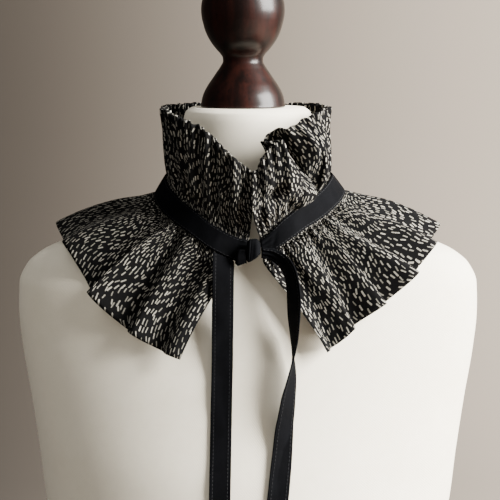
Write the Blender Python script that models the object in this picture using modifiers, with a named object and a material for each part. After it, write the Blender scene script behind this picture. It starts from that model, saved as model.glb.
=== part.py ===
"""Ruffled collar tied round the neck of a limbless dress form, in metres, +Z up, front at -Y.

The collar is one long strip of printed cotton, gathered along a line under a black neck tape.
Above the tape it stands as an upper frill, below it falls as a deep lower ruffle.
The tape's ends meet in a single half knot at the front and hang as two tails.
Angles called turn are in degrees round the neck, seen from above: 0 at the front,
90 at the side of +X, 180 at the back and 270 at the side of -X.
"""

import math
from collections import namedtuple

import bmesh
import bpy
from mathutils import Vector
from mathutils.bvhtree import BVHTree

OBJECT_NAME = "ruffled_collar_on_dress_form"

# Colours and roughness of the plain materials
COTTON_COLOUR = (0.030, 0.029, 0.030)
COTTON_ROUGHNESS = 0.85
TAPE_COLOUR = (0.012, 0.012, 0.013)
TAPE_ROUGHNESS = 0.80
JERSEY_COLOUR = (0.700, 0.660, 0.590)
JERSEY_ROUGHNESS = 0.90
WOOD_COLOUR = (0.060, 0.026, 0.014)
WOOD_ROUGHNESS = 0.25

# Walls and gaps
CLOTH_WALL = 0.0011
TAPE_WALL = 0.0012
SEAM_GAP = 0.0005
FORM_GAP = 0.0006

# Neck tape
TAPE_WIDTH = 0.018
TAIL_WIDTH = 0.016
TAPE_START = 7.2
TAPE_END = 359.3
TAIL_GAP = FORM_GAP + TAPE_WALL / 2
TAPE_COLUMNS = 72
TAPE_GATHER_TURN = 14.0
TAPE_GATHER_SHARE = 0.62
TAPE_GATHER_POWER = 1.5
CLOTH_EDGE = TAPE_WIDTH / 2 + SEAM_GAP * 1.5

# Upper frill
FRILL_COLUMNS = 184
FRILL_ROWS = 5
FRILL_SEAM_START = 6.5
FRILL_SEAM_END = 356.0
FRILL_RIM_START = 1.4
FRILL_RIM_END = 360.8
RIPPLE_COUNT = 46
RIPPLE_DEPTH = 0.0013
RIPPLE_DRIFT = 1.5
RIPPLE_DRIFT_RATE = 9.0
RIPPLE_GROWTH = 4.0
FOLD_GROWTH = 1.6
FRILL_RISE = 0.018
FRILL_FLARE = 0.005
FRILL_RIM_HANDLE = 0.4

# Lower ruffle
RUFFLE_COLUMNS = 160
RUFFLE_ROWS = 8
RUFFLE_SEAM_START = 8.0
RUFFLE_SEAM_END = 352.0
RUFFLE_DROP = 0.007
RUFFLE_BULGE = 0.010
RUFFLE_HANDLE = 0.6
NORMAL_STEP = 0.002

# Knot and loop of the tie
KNOT_CENTRE = (0.0041, -0.0844, 0.5765)
KNOT_HALF_WIDTH = 0.0055
KNOT_HALF_DEPTH = 0.0062
KNOT_HALF_HEIGHT = 0.0098
KNOT_LOWER_SHARE = 0.60
KNOT_LOWER_SLOPE = 0.70
KNOT_SQUARENESS = 0.62
KNOT_SEGMENTS = 16
KNOT_RINGS = 10
LOOP_RIGHT = -0.0017
LOOP_LEFT = -0.0095
LOOP_FRONT = -0.0884
LOOP_FOLD = 0.0019
LOOP_TOP = 0.5788
LOOP_BOTTOM = 0.5664
LOOP_SLANT = 0.0016
LOOP_ROUNDING = 0.0022
LOOP_WALL = 0.0010
LOOP_FLAT_SHARE = 0.35
LOOP_COLUMNS = 14
LOOP_ROWS = 4

# Dress form and finial
FORM_SEGMENTS = 40
FORM_RING_STEP = 0.030
FORM_TOP = 0.680
FORM_SHARP_ANGLE = 50.0
FINIAL_ACROSS = -0.004
FINIAL_GAP = 0.0003
FINIAL_STEPS = 24
FINIAL_MERGE = 0.00005
BALL_HEIGHT = 0.0760
BALL_RADIUS = 0.0332
BALL_ARCS = 6

TapeRow = namedtuple("TapeRow", "turn radius height lean")
RimRow = namedtuple("RimRow", "turn radius height")
HemRow = namedtuple("HemRow", "share turn radius height")
FrillFold = namedtuple("FrillFold", "seam_turn rim_turn half_width out lean")
RuffleFold = namedtuple("RuffleFold", "crest crest_out valley valley_in lean")
Section = namedtuple("Section", "height half_width front back")
TurnedRow = namedtuple("TurnedRow", "height radius")
TailRow = namedtuple("TailRow", "run across height forward width twist")

# Centre line of the tape once round, and how far its width leans in towards the neck
TAPE_PATH = [
    TapeRow(0.0, 0.0790, 0.5755, 0.30),
    TapeRow(7.0, 0.0792, 0.5785, 0.30),
    TapeRow(23.0, 0.0805, 0.5937, 0.36),
    TapeRow(32.0, 0.0788, 0.6003, 0.42),
    TapeRow(43.0, 0.0775, 0.6058, 0.48),
    TapeRow(57.0, 0.0762, 0.6128, 0.54),
    TapeRow(75.0, 0.0740, 0.6188, 0.60),
    TapeRow(90.0, 0.0728, 0.6200, 0.60),
    TapeRow(135.0, 0.0705, 0.6190, 0.50),
    TapeRow(180.0, 0.0690, 0.6160, 0.40),
    TapeRow(225.0, 0.0698, 0.6190, 0.46),
    TapeRow(270.0, 0.0705, 0.6190, 0.52),
    TapeRow(285.0, 0.0725, 0.6170, 0.52),
    TapeRow(302.0, 0.0755, 0.6105, 0.50),
    TapeRow(315.0, 0.0770, 0.6035, 0.45),
    TapeRow(327.0, 0.0786, 0.5967, 0.40),
    TapeRow(341.5, 0.0810, 0.5858, 0.34),
    TapeRow(355.0, 0.0792, 0.5770, 0.30),
    TapeRow(360.0, 0.0790, 0.5755, 0.30),
]

# Rim of the upper frill once round, without its ripples
FRILL_RIM = [
    RimRow(0.0, 0.0800, 0.6360),
    RimRow(3.0, 0.0840, 0.6450),
    RimRow(7.0, 0.0870, 0.6520),
    RimRow(14.0, 0.0870, 0.6600),
    RimRow(20.0, 0.0850, 0.6660),
    RimRow(30.0, 0.0820, 0.6720),
    RimRow(44.0, 0.0770, 0.6775),
    RimRow(65.0, 0.0700, 0.6810),
    RimRow(90.0, 0.0655, 0.6820),
    RimRow(135.0, 0.0680, 0.6840),
    RimRow(180.0, 0.0710, 0.6755),
    RimRow(225.0, 0.0690, 0.6840),
    RimRow(270.0, 0.0700, 0.6820),
    RimRow(300.0, 0.0760, 0.6795),
    RimRow(316.0, 0.0800, 0.6770),
    RimRow(333.0, 0.0830, 0.6710),
    RimRow(344.5, 0.0850, 0.6575),
    RimRow(352.0, 0.0850, 0.6486),
    RimRow(360.0, 0.0800, 0.6360),
]

# Large folds of the upper frill, each slanting from the seam to the rim, and how far each leans
FRILL_FOLDS = [
    FrillFold(20.0, 12.0, 12.5, 0.0100, 1.4),
    FrillFold(37.0, 26.0, 8.5, -0.0090, 1.4),
    FrillFold(50.0, 42.0, 9.0, 0.0025, 0.0),
    FrillFold(70.0, 62.0, 8.0, -0.0030, 0.0),
    FrillFold(104.0, 106.0, 9.0, -0.0035, 0.0),
    FrillFold(138.0, 134.0, 10.0, -0.0040, 0.0),
    FrillFold(166.0, 170.0, 9.0, -0.0035, 0.0),
    FrillFold(198.0, 204.0, 10.0, -0.0040, 0.0),
    FrillFold(232.0, 228.0, 9.0, -0.0035, 0.0),
    FrillFold(262.0, 264.0, 8.0, -0.0030, 0.0),
    FrillFold(296.0, 300.0, 10.0, -0.0030, 0.0),
    FrillFold(318.0, 326.0, 12.0, 0.0035, 0.0),
    FrillFold(340.0, 344.0, 9.0, -0.0040, 0.0),
]

# Hem of the lower ruffle, with the share of the seam's length at each place, without its folds
RUFFLE_HEM = [
    HemRow(0.000, 29.5, 0.1150, 0.5020),
    HemRow(0.035, 36.5, 0.1140, 0.5080),
    HemRow(0.070, 44.5, 0.1185, 0.5215),
    HemRow(0.102, 57.0, 0.1320, 0.5400),
    HemRow(0.125, 64.0, 0.1415, 0.5540),
    HemRow(0.151, 73.0, 0.1475, 0.5690),
    HemRow(0.190, 82.0, 0.1500, 0.5775),
    HemRow(0.238, 93.0, 0.1520, 0.5805),
    HemRow(0.300, 112.0, 0.1480, 0.5740),
    HemRow(0.369, 137.0, 0.1300, 0.5500),
    HemRow(0.500, 180.0, 0.1060, 0.5340),
    HemRow(0.631, 223.0, 0.1300, 0.5500),
    HemRow(0.700, 248.0, 0.1480, 0.5740),
    HemRow(0.762, 268.0, 0.1530, 0.5810),
    HemRow(0.810, 279.0, 0.1500, 0.5770),
    HemRow(0.849, 289.0, 0.1460, 0.5690),
    HemRow(0.875, 298.0, 0.1400, 0.5470),
    HemRow(0.898, 305.5, 0.1320, 0.5290),
    HemRow(0.930, 316.0, 0.1215, 0.5125),
    HemRow(0.965, 325.0, 0.1150, 0.5030),
    HemRow(1.000, 333.0, 0.1115, 0.4975),
]

# Folds of the lower ruffle at its hem: a crest, the valley after it, and how far the crest leans
RUFFLE_FOLDS = [
    RuffleFold(30.0, 0.0030, 35.0, 0.0040, 0.5),
    RuffleFold(40.0, 0.0060, 45.0, 0.0055, 0.9),
    RuffleFold(50.5, 0.0070, 56.0, 0.0065, 1.0),
    RuffleFold(62.0, 0.0080, 68.0, 0.0080, 1.1),
    RuffleFold(73.5, 0.0085, 80.0, 0.0075, 0.8),
    RuffleFold(88.0, 0.0080, 96.0, 0.0060, 0.1),
    RuffleFold(103.5, 0.0070, 110.5, 0.0060, -0.3),
    RuffleFold(118.0, 0.0070, 125.0, 0.0060, -0.5),
    RuffleFold(133.0, 0.0075, 141.0, 0.0060, -0.5),
    RuffleFold(149.0, 0.0070, 157.0, 0.0060, -0.4),
    RuffleFold(166.0, 0.0075, 175.0, 0.0060, -0.2),
    RuffleFold(184.0, 0.0070, 193.0, 0.0060, 0.2),
    RuffleFold(201.0, 0.0075, 209.0, 0.0060, 0.4),
    RuffleFold(217.0, 0.0070, 225.0, 0.0060, 0.5),
    RuffleFold(232.0, 0.0075, 239.5, 0.0060, 0.5),
    RuffleFold(247.0, 0.0070, 254.0, 0.0050, 0.3),
    RuffleFold(267.0, 0.0075, 281.0, 0.0060, -0.1),
    RuffleFold(289.0, 0.0080, 296.0, 0.0070, -0.7),
    RuffleFold(303.0, 0.0065, 309.0, 0.0055, -0.7),
    RuffleFold(316.5, 0.0065, 323.5, 0.0055, -0.4),
    RuffleFold(330.0, 0.0035, 335.0, 0.0010, -0.2),
]

# Level sections of the dress form: half its width, and its reach to the front and to the back
FORM_SECTIONS = [
    Section(0.0000, 0.1660, 0.1060, 0.1060),
    Section(0.0040, 0.1700, 0.1100, 0.1100),
    Section(0.0300, 0.1720, 0.1120, 0.1120),
    Section(0.0800, 0.1650, 0.1080, 0.1060),
    Section(0.1400, 0.1430, 0.0980, 0.0880),
    Section(0.2050, 0.1290, 0.0920, 0.0740),
    Section(0.2500, 0.1360, 0.0980, 0.0770),
    Section(0.3000, 0.1530, 0.1170, 0.0880),
    Section(0.3550, 0.1690, 0.1320, 0.0970),
    Section(0.4000, 0.1740, 0.1230, 0.1020),
    Section(0.4450, 0.1800, 0.1080, 0.1040),
    Section(0.4850, 0.1860, 0.0960, 0.1010),
    Section(0.5150, 0.1885, 0.0860, 0.0950),
    Section(0.5385, 0.1875, 0.0780, 0.0890),
    Section(0.5530, 0.1810, 0.0730, 0.0840),
    Section(0.5640, 0.1680, 0.0690, 0.0790),
    Section(0.5740, 0.1450, 0.0660, 0.0740),
    Section(0.5840, 0.1230, 0.0630, 0.0700),
    Section(0.5940, 0.0985, 0.0600, 0.0660),
    Section(0.6030, 0.0780, 0.0570, 0.0620),
    Section(0.6130, 0.0610, 0.0540, 0.0570),
    Section(0.6280, 0.0545, 0.0520, 0.0530),
    Section(0.6500, 0.0525, 0.0505, 0.0510),
    Section(0.6700, 0.0518, 0.0500, 0.0500),
    Section(0.6765, 0.0500, 0.0485, 0.0485),
    Section(FORM_TOP, 0.0455, 0.0440, 0.0440),
]

# Outline of the finial below the widest place of its ball, above its foot
FINIAL_OUTLINE = [
    TurnedRow(0.0000, 0.0334),
    TurnedRow(0.0008, 0.0341),
    TurnedRow(0.0018, 0.0337),
    TurnedRow(0.0050, 0.0332),
    TurnedRow(0.0093, 0.0321),
    TurnedRow(0.0167, 0.0284),
    TurnedRow(0.0217, 0.0250),
    TurnedRow(0.0267, 0.0216),
    TurnedRow(0.0320, 0.0180),
    TurnedRow(0.0361, 0.0160),
    TurnedRow(0.0385, 0.0161),
    TurnedRow(0.0416, 0.0178),
    TurnedRow(0.0455, 0.0213),
    TurnedRow(0.0526, 0.0265),
    TurnedRow(0.0599, 0.0300),
    TurnedRow(0.0680, 0.0323),
]

# Tails of the tie: the run along them, their centre line down the chest, its least reach forward,
# their share of the tape's width, and their twist
TAIL_LEFT = [
    TailRow(0.0000, -0.0184, 0.5729, 0.0829, 1.00, -4.0),
    TailRow(0.0129, -0.0186, 0.5600, 0.0880, 1.00, -5.0),
    TailRow(0.0279, -0.0187, 0.5450, 0.0912, 1.00, -6.0),
    TailRow(0.0529, -0.0190, 0.5200, 0.0930, 1.00, -6.0),
    TailRow(0.0829, -0.0194, 0.4900, 0.0960, 1.00, -6.0),
    TailRow(0.1329, -0.0202, 0.4400, 0.1080, 1.00, 3.0),
    TailRow(0.1829, -0.0210, 0.3900, 0.1200, 1.00, 3.0),
    TailRow(0.2179, -0.0216, 0.3550, 0.1330, 1.00, 0.0),
    TailRow(0.2829, -0.0220, 0.2900, 0.1340, 1.00, 0.0),
]
TAIL_RIGHT = [
    TailRow(0.0000, 0.0103, 0.5759, 0.0846, 0.44, 0.0),
    TailRow(0.0070, 0.0172, 0.5750, 0.0856, 0.50, 6.0),
    TailRow(0.0130, 0.0226, 0.5724, 0.0880, 0.62, 20.0),
    TailRow(0.0180, 0.0266, 0.5692, 0.0908, 0.78, 38.0),
    TailRow(0.0240, 0.0302, 0.5644, 0.0950, 0.95, 50.0),
    TailRow(0.0330, 0.0330, 0.5556, 0.0978, 1.00, 54.0),
    TailRow(0.0430, 0.0342, 0.5458, 0.0992, 1.00, 54.0),
    TailRow(0.0580, 0.0344, 0.5310, 0.1000, 1.00, 60.0),
    TailRow(0.0720, 0.0343, 0.5171, 0.1005, 1.00, 70.0),
    TailRow(0.0860, 0.0333, 0.5029, 0.1035, 1.00, 88.0),
    TailRow(0.1040, 0.0318, 0.4850, 0.1060, 1.00, 116.0),
    TailRow(0.1210, 0.0298, 0.4680, 0.1075, 1.00, 150.0),
    TailRow(0.1550, 0.0260, 0.4340, 0.1110, 1.00, 174.0),
    TailRow(0.1900, 0.0222, 0.3990, 0.1200, 1.00, 180.0),
    TailRow(0.2340, 0.0182, 0.3550, 0.1330, 1.00, 180.0),
    TailRow(0.2840, 0.0150, 0.3050, 0.1340, 1.00, 180.0),
]
TAIL_LEFT_SLANT = -0.45
TAIL_SLANT_RUN = 0.016
TAIL_COLUMNS = 3
TAIL_ROWS = 36
TAIL_STEP = 0.001


def clear_scene():
    """Remove the objects that the file opens with."""
    for item in list(bpy.data.objects):
        bpy.data.objects.remove(item)


def make_material(name, colour, roughness):
    """A plain Principled material in the piece's main colour."""
    material = bpy.data.materials.new(name)
    material.use_nodes = True
    shader = material.node_tree.nodes["Principled BSDF"]
    shader.inputs["Base Color"].default_value = (*colour, 1.0)
    shader.inputs["Roughness"].default_value = roughness
    shader.inputs["Metallic"].default_value = 0.0
    material.diffuse_color = (*colour, 1.0)
    return material


def slopes(places, values):
    """Slopes of a smooth curve through the values that never overshoots them."""
    steps = [(values[i + 1] - values[i]) / (places[i + 1] - places[i]) for i in range(len(values) - 1)]
    middle = [2 * a * b / (a + b) if a * b > 0 else 0.0 for a, b in zip(steps, steps[1:])]
    return [steps[0]] + middle + [steps[-1]]


def read_column(rows, column, at):
    """Value of a table's column at a place in its first column."""
    places = [row[0] for row in rows]
    values = [getattr(row, column) for row in rows]
    at = min(max(at, places[0]), places[-1])
    i = max(k for k in range(len(rows) - 1) if places[k] <= at)
    lean = slopes(places, values)
    span = places[i + 1] - places[i]
    t = (at - places[i]) / span
    from_start = (1 + 2 * t) * (1 - t) ** 2 * values[i] + t * (1 - t) ** 2 * span * lean[i]
    from_end = t * t * (3 - 2 * t) * values[i + 1] - t * t * (1 - t) * span * lean[i + 1]
    return from_start + from_end


def round_the_neck(turn, radius, height):
    """The point at a turn round the neck's axis."""
    angle = math.radians(turn)
    return Vector((radius * math.sin(angle), -radius * math.cos(angle), height))


def bell(distance, half_width):
    """A smooth hump, 1 in the middle and 0 past its half width."""
    share = abs(distance) / half_width
    return 0.5 + 0.5 * math.cos(math.pi * share) if share < 1 else 0.0


def bezier(start, first, second, end, t):
    """A point on a cubic curve between two points with their handles."""
    s = 1 - t
    return s ** 3 * start + 3 * s * s * t * first + 3 * s * t * t * second + t ** 3 * end


def tape_frame(turn):
    """The tape's centre point, its upward direction and its outward direction at a turn."""
    radius = read_column(TAPE_PATH, "radius", turn)
    height = read_column(TAPE_PATH, "height", turn)
    lean = read_column(TAPE_PATH, "lean", turn)
    outward = round_the_neck(turn, 1.0, 0.0)
    upright = math.sqrt(1 - lean * lean)
    up = Vector((0, 0, upright)) - outward * lean
    out = outward * upright + Vector((0, 0, lean))
    return round_the_neck(turn, radius, height), up, out


def under_tape(turn, above):
    """A point of the gathered cloth behind the tape, some way above its centre line."""
    centre, up, out = tape_frame(turn)
    return centre + up * above - out * (SEAM_GAP + (CLOTH_WALL + TAPE_WALL) / 2)


def frill_base(turn_share, v):
    """The upper frill without its folds, from the seam at v = 0 to the rim at v = 1."""
    seam_turn = FRILL_SEAM_START + (FRILL_SEAM_END - FRILL_SEAM_START) * turn_share
    rim_turn = FRILL_RIM_START + (FRILL_RIM_END - FRILL_RIM_START) * turn_share
    first = 1.0 / FRILL_ROWS
    if v <= first:
        return under_tape(seam_turn, SEAM_GAP / 2 + (CLOTH_EDGE - SEAM_GAP / 2) * v / first)
    t = (v - first) / (1 - first)
    start = under_tape(seam_turn, CLOTH_EDGE)
    rim = round_the_neck(rim_turn, read_column(FRILL_RIM, "radius", rim_turn),
                         read_column(FRILL_RIM, "height", rim_turn))
    below_rim = rim - Vector((0, 0, FRILL_RIM_HANDLE * (rim.z - start.z)))
    above_seam = round_the_neck(rim_turn, math.hypot(start.x, start.y) + FRILL_FLARE,
                                start.z + FRILL_RISE)
    return bezier(start, above_seam, below_rim, rim, t)


def frill_offset(turn_share, v):
    """How far the frill's folds and ripples stand out of its base, and shift along it."""
    first = 1.0 / FRILL_ROWS
    t = max(0.0, (v - first) / (1 - first))
    seam_turn = FRILL_SEAM_START + (FRILL_SEAM_END - FRILL_SEAM_START) * turn_share
    rim_turn = FRILL_RIM_START + (FRILL_RIM_END - FRILL_RIM_START) * turn_share
    turn = seam_turn + (rim_turn - seam_turn) * t
    offset = 0.0
    shift = 0.0
    for fold in FRILL_FOLDS:
        centre = fold.seam_turn + (fold.rim_turn - fold.seam_turn) * t
        out = fold.out * bell(turn - centre, fold.half_width) * min(1.0, FOLD_GROWTH * t)
        offset += out
        shift += out * fold.lean
    drift = RIPPLE_DRIFT * math.sin(RIPPLE_DRIFT_RATE * turn_share)
    ripple = math.cos(2 * math.pi * RIPPLE_COUNT * turn_share + drift)
    return offset + RIPPLE_DEPTH * ripple * min(1.0, RIPPLE_GROWTH * t), shift


def ruffle_base(turn_share, v):
    """The lower ruffle without its folds, from the seam at v = 0 to the hem at v = 1."""
    seam_turn = RUFFLE_SEAM_START + (RUFFLE_SEAM_END - RUFFLE_SEAM_START) * turn_share
    hem_turn = read_column(RUFFLE_HEM, "turn", turn_share)
    first = 1.0 / RUFFLE_ROWS
    if v <= first:
        return under_tape(seam_turn, -SEAM_GAP / 2 - (CLOTH_EDGE - SEAM_GAP / 2) * v / first)
    t = (v - first) / (1 - first)
    start = under_tape(seam_turn, -CLOTH_EDGE)
    up = tape_frame(seam_turn)[1]
    hem = round_the_neck(hem_turn, read_column(RUFFLE_HEM, "radius", turn_share),
                         read_column(RUFFLE_HEM, "height", turn_share))
    before_hem = start.lerp(hem, RUFFLE_HANDLE) + Vector((0, 0, RUFFLE_BULGE))
    return bezier(start, start - up * RUFFLE_DROP, before_hem, hem, t)


def ruffle_fold(turn):
    """Height and lean of the ruffle's folds at a turn along its hem."""
    keys = []
    for fold in RUFFLE_FOLDS:
        keys.append((fold.crest, fold.crest_out, fold.lean))
        keys.append((fold.valley, -fold.valley_in, fold.lean))
    if turn <= keys[0][0]:
        return keys[0][1], keys[0][2]
    for (at, height, lean), (next_at, next_height, next_lean) in zip(keys, keys[1:]):
        if turn <= next_at:
            share = 0.5 - 0.5 * math.cos(math.pi * (turn - at) / (next_at - at))
            return height + (next_height - height) * share, lean + (next_lean - lean) * share
    return keys[-1][1], keys[-1][2]


def outward_normal(base, turn_share, v, upward):
    """The base surface's outward direction, from its neighbours."""
    along = base(min(turn_share + NORMAL_STEP, 1.0), v) - base(max(turn_share - NORMAL_STEP, 0.0), v)
    down = base(turn_share, min(v + NORMAL_STEP, 1.0)) - base(turn_share, max(v - NORMAL_STEP, 0.0))
    normal = along.cross(down) if upward else down.cross(along)
    return normal.normalized(), along.normalized()


def keep_off(tree, point, gap):
    """Move a point out of the form until it is clear of it by the gap."""
    near, normal, _, distance = tree.find_nearest(point)
    side = (point - near).dot(normal)
    if side < 0 or distance < gap:
        return near + normal * gap
    return point


def add_object(name, bm, material, collection):
    """Turn a bmesh into an object of the collection, shaded smooth."""
    mesh = bpy.data.meshes.new(name)
    bm.to_mesh(mesh)
    bm.free()
    mesh.materials.append(material)
    mesh.shade_smooth()
    item = bpy.data.objects.new(name, mesh)
    collection.objects.link(item)
    return item


def add_wall(item, thickness):
    """Give an open surface its thickness, half of it to each side."""
    wall = item.modifiers.new("wall", "SOLIDIFY")
    wall.thickness = thickness
    wall.offset = 0.0


def make_sheet(name, columns, rows, place, thickness, material, collection, flip=False):
    """A cloth wall whose middle points are placed by a function of two shares."""
    bm = bmesh.new()
    bmesh.ops.create_grid(bm, x_segments=columns, y_segments=rows, size=0.5)
    for vert in bm.verts:
        vert.co = place(vert.co.x + 0.5, vert.co.y + 0.5)
    if flip:
        bmesh.ops.reverse_faces(bm, faces=bm.faces[:])
    item = add_object(name, bm, material, collection)
    add_wall(item, thickness)
    return item


def form_heights():
    """Heights of the form's rings: every section's, with more between those far apart."""
    heights = []
    for low, high in zip(FORM_SECTIONS, FORM_SECTIONS[1:]):
        parts = max(1, round((high.height - low.height) / FORM_RING_STEP))
        heights += [low.height + (high.height - low.height) * i / parts for i in range(parts)]
    return heights + [FORM_TOP]


def make_form_body(material, collection):
    """The dress form's padded body: a sphere's rings moved onto its level sections."""
    bm = bmesh.new()
    heights = form_heights()
    last = len(heights) + 1
    bmesh.ops.create_uvsphere(bm, u_segments=FORM_SEGMENTS, v_segments=last, radius=1.0)
    for vert in bm.verts:
        ring = round((1 - math.acos(max(-1.0, min(1.0, vert.co.z))) / math.pi) * last)
        height = heights[min(max(ring - 1, 0), last - 2)]
        across = Vector((vert.co.x, vert.co.y, 0.0))
        across = across.normalized() if 0 < ring < last else Vector()
        reach = read_column(FORM_SECTIONS, "front" if across.y < 0 else "back", height)
        half_width = read_column(FORM_SECTIONS, "half_width", height)
        vert.co = (across.x * half_width, across.y * reach, height)
    bmesh.ops.triangulate(bm, faces=bm.faces[:])
    item = add_object("form_body", bm, material, collection)
    item.data.set_sharp_from_angle(angle=math.radians(FORM_SHARP_ANGLE))
    return item


def finial_profile():
    """Half outline of the turned finial, from its foot's centre up to the ball's top."""
    foot = FORM_TOP + FINIAL_GAP
    points = [(0.0, foot)] + [(row.radius, foot + row.height) for row in FINIAL_OUTLINE]
    for i in range(BALL_ARCS + 1):
        angle = math.pi / 2 * i / BALL_ARCS
        radius = BALL_RADIUS * math.cos(angle) if i < BALL_ARCS else 0.0
        points.append((radius, foot + BALL_HEIGHT + BALL_RADIUS * math.sin(angle)))
    return points


def make_finial(material, collection):
    """The turned finial that closes the neck, spun from its half outline."""
    bm = bmesh.new()
    verts = [bm.verts.new((x, 0.0, z)) for x, z in reversed(finial_profile())]
    for a, b in zip(verts, verts[1:]):
        bm.edges.new((a, b))
    item = add_object("form_finial", bm, material, collection)
    item.location.x = FINIAL_ACROSS
    spin = item.modifiers.new("turned", "SCREW")
    spin.steps = FINIAL_STEPS
    spin.render_steps = FINIAL_STEPS
    spin.use_merge_vertices = True
    spin.merge_threshold = FINIAL_MERGE
    spin.use_smooth_shade = True
    return item


def make_upper_frill(material, collection, tree):
    """The standing frill above the tape, with its ripples and large folds."""
    def place(turn_share, v):
        point = frill_base(turn_share, v)
        normal, along = outward_normal(frill_base, turn_share, v, True)
        offset, shift = frill_offset(turn_share, v)
        point = point + normal * offset + along * shift
        return keep_off(tree, point, FORM_GAP + CLOTH_WALL / 2)
    return make_sheet("upper_frill", FRILL_COLUMNS, FRILL_ROWS, place, CLOTH_WALL, material, collection)


def make_lower_ruffle(material, collection, tree):
    """The deep ruffle below the tape, falling over the shoulders and the chest in leaning folds."""
    def place(turn_share, v):
        point = ruffle_base(turn_share, v)
        first = 1.0 / RUFFLE_ROWS
        t = max(0.0, (v - first) / (1 - first))
        normal, along = outward_normal(ruffle_base, turn_share, v, False)
        height, lean = ruffle_fold(read_column(RUFFLE_HEM, "turn", turn_share))
        point = point + (normal + along * lean * t) * (height * t)
        return keep_off(tree, point, FORM_GAP + CLOTH_WALL / 2)
    return make_sheet("lower_ruffle", RUFFLE_COLUMNS, RUFFLE_ROWS, place, CLOTH_WALL, material,
                      collection, flip=True)


def make_neck_tape(material, collection):
    """The tape round the neck over the gathering line, gathered at its right end by the knot."""
    def place(share, v):
        turn = TAPE_START + (TAPE_END - TAPE_START) * share
        centre, up, _ = tape_frame(turn)
        gathered = max(0.0, 1 - (turn - TAPE_START) / TAPE_GATHER_TURN)
        width = TAPE_WIDTH * (1 - (1 - TAPE_GATHER_SHARE) * gathered ** TAPE_GATHER_POWER)
        return centre + up * (v - 0.5) * width
    return make_sheet("neck_tape", TAPE_COLUMNS, 1, place, TAPE_WALL, material, collection)


def make_tail(name, rows, slant, material, collection, tree):
    """A tail of the tie, from its upper end by the knot down the chest, with its top cut slanted."""
    length = rows[-1].run

    def place(v, share):
        run = length * (1 - share)
        across, height, width, twist = (read_column(rows, column, run)
                                        for column in ("across", "height", "width", "twist"))
        ahead = run + TAIL_STEP
        right = read_column(rows, "across", ahead) - read_column(rows, "across", run - TAIL_STEP)
        down = read_column(rows, "height", run - TAIL_STEP) - read_column(rows, "height", ahead)
        beside = Vector((down, 0.0, right)).normalized()
        on_form, _, _, _ = tree.ray_cast(Vector((across, -1.0, height)), Vector((0, 1, 0)))
        forward = max(read_column(rows, "forward", run), TAIL_GAP - on_form.y)
        angle = math.radians(twist)
        side = beside * math.cos(angle) + Vector((0, -math.sin(angle), 0))
        side.z += slant * max(0.0, 1 - run / TAIL_SLANT_RUN)
        point = Vector((across, -forward, height)) + side * TAIL_WIDTH * width * (v - 0.5)
        return keep_off(tree, point, TAIL_GAP)
    return make_sheet(name, TAIL_COLUMNS, TAIL_ROWS, place, TAPE_WALL, material, collection)


def make_tie_knot(material, collection):
    """The half knot: a tight wrap of tape, flat above and slanted below."""
    centre = Vector(KNOT_CENTRE)
    bm = bmesh.new()
    bmesh.ops.create_uvsphere(bm, u_segments=KNOT_SEGMENTS, v_segments=KNOT_RINGS, radius=1.0)
    for vert in bm.verts:
        x, y, z = (math.copysign(abs(c) ** KNOT_SQUARENESS, c) for c in vert.co)
        reach = KNOT_HALF_HEIGHT if z > 0 else KNOT_HALF_HEIGHT * KNOT_LOWER_SHARE
        lower = KNOT_LOWER_SLOPE * KNOT_HALF_WIDTH * x * max(0.0, -z)
        vert.co = centre + Vector((KNOT_HALF_WIDTH * x, KNOT_HALF_DEPTH * y, reach * z + lower))
    return add_object("tie_knot", bm, material, collection)


def make_tie_loop(material, collection):
    """The small folded loop of tape at the knot's lower left."""
    flat = LOOP_FLAT_SHARE

    def place(share, v):
        angle = math.pi * min(max((share - flat) / (1 - 2 * flat), 0.0), 1.0)
        reach = min(share / flat, (1 - share) / flat, 1.0)
        x = LOOP_RIGHT + (LOOP_LEFT + LOOP_FOLD - LOOP_RIGHT) * reach - LOOP_FOLD * math.sin(angle)
        y = LOOP_FRONT + LOOP_FOLD - LOOP_FOLD * math.cos(angle)
        lower = LOOP_ROUNDING * (1 - reach) * (1 - v)
        return Vector((x + LOOP_SLANT * reach * v, y, LOOP_BOTTOM + (LOOP_TOP - LOOP_BOTTOM) * v + lower))
    return make_sheet("tie_loop", LOOP_COLUMNS, LOOP_ROWS, place, LOOP_WALL, material, collection, flip=True)


def main():
    """Build the form first, then the collar that rests on it."""
    clear_scene()
    collection = bpy.data.collections.new(OBJECT_NAME)
    bpy.context.scene.collection.children.link(collection)
    cotton = make_material("printed_cotton", COTTON_COLOUR, COTTON_ROUGHNESS)
    tape = make_material("black_tape", TAPE_COLOUR, TAPE_ROUGHNESS)
    jersey = make_material("ivory_jersey", JERSEY_COLOUR, JERSEY_ROUGHNESS)
    wood = make_material("turned_wood", WOOD_COLOUR, WOOD_ROUGHNESS)
    form = make_form_body(jersey, collection)
    tree = BVHTree.FromObject(form, bpy.context.evaluated_depsgraph_get())
    make_finial(wood, collection)
    make_upper_frill(cotton, collection, tree)
    make_lower_ruffle(cotton, collection, tree)
    make_neck_tape(tape, collection)
    make_tie_knot(tape, collection)
    make_tie_loop(tape, collection)
    make_tail("tie_tail_left", TAIL_LEFT, TAIL_LEFT_SLANT, tape, collection, tree)
    make_tail("tie_tail_right", TAIL_RIGHT, 0.0, tape, collection, tree)


main()
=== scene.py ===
"""Looks of the ruffled collar on its limbless dress form, in metres, +Z up, front at -Y.

Angles called turn are in degrees round the neck, seen from above: 0 at the front,
90 at the side of +X, 180 at the back and 270 at the side of -X.
"""

import logging
import math
from dataclasses import dataclass
from enum import Enum
from typing import NamedTuple, Optional, Sequence

import bmesh
import bpy
import numpy as np
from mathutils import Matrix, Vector, noise
from mathutils.bvhtree import BVHTree


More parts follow.
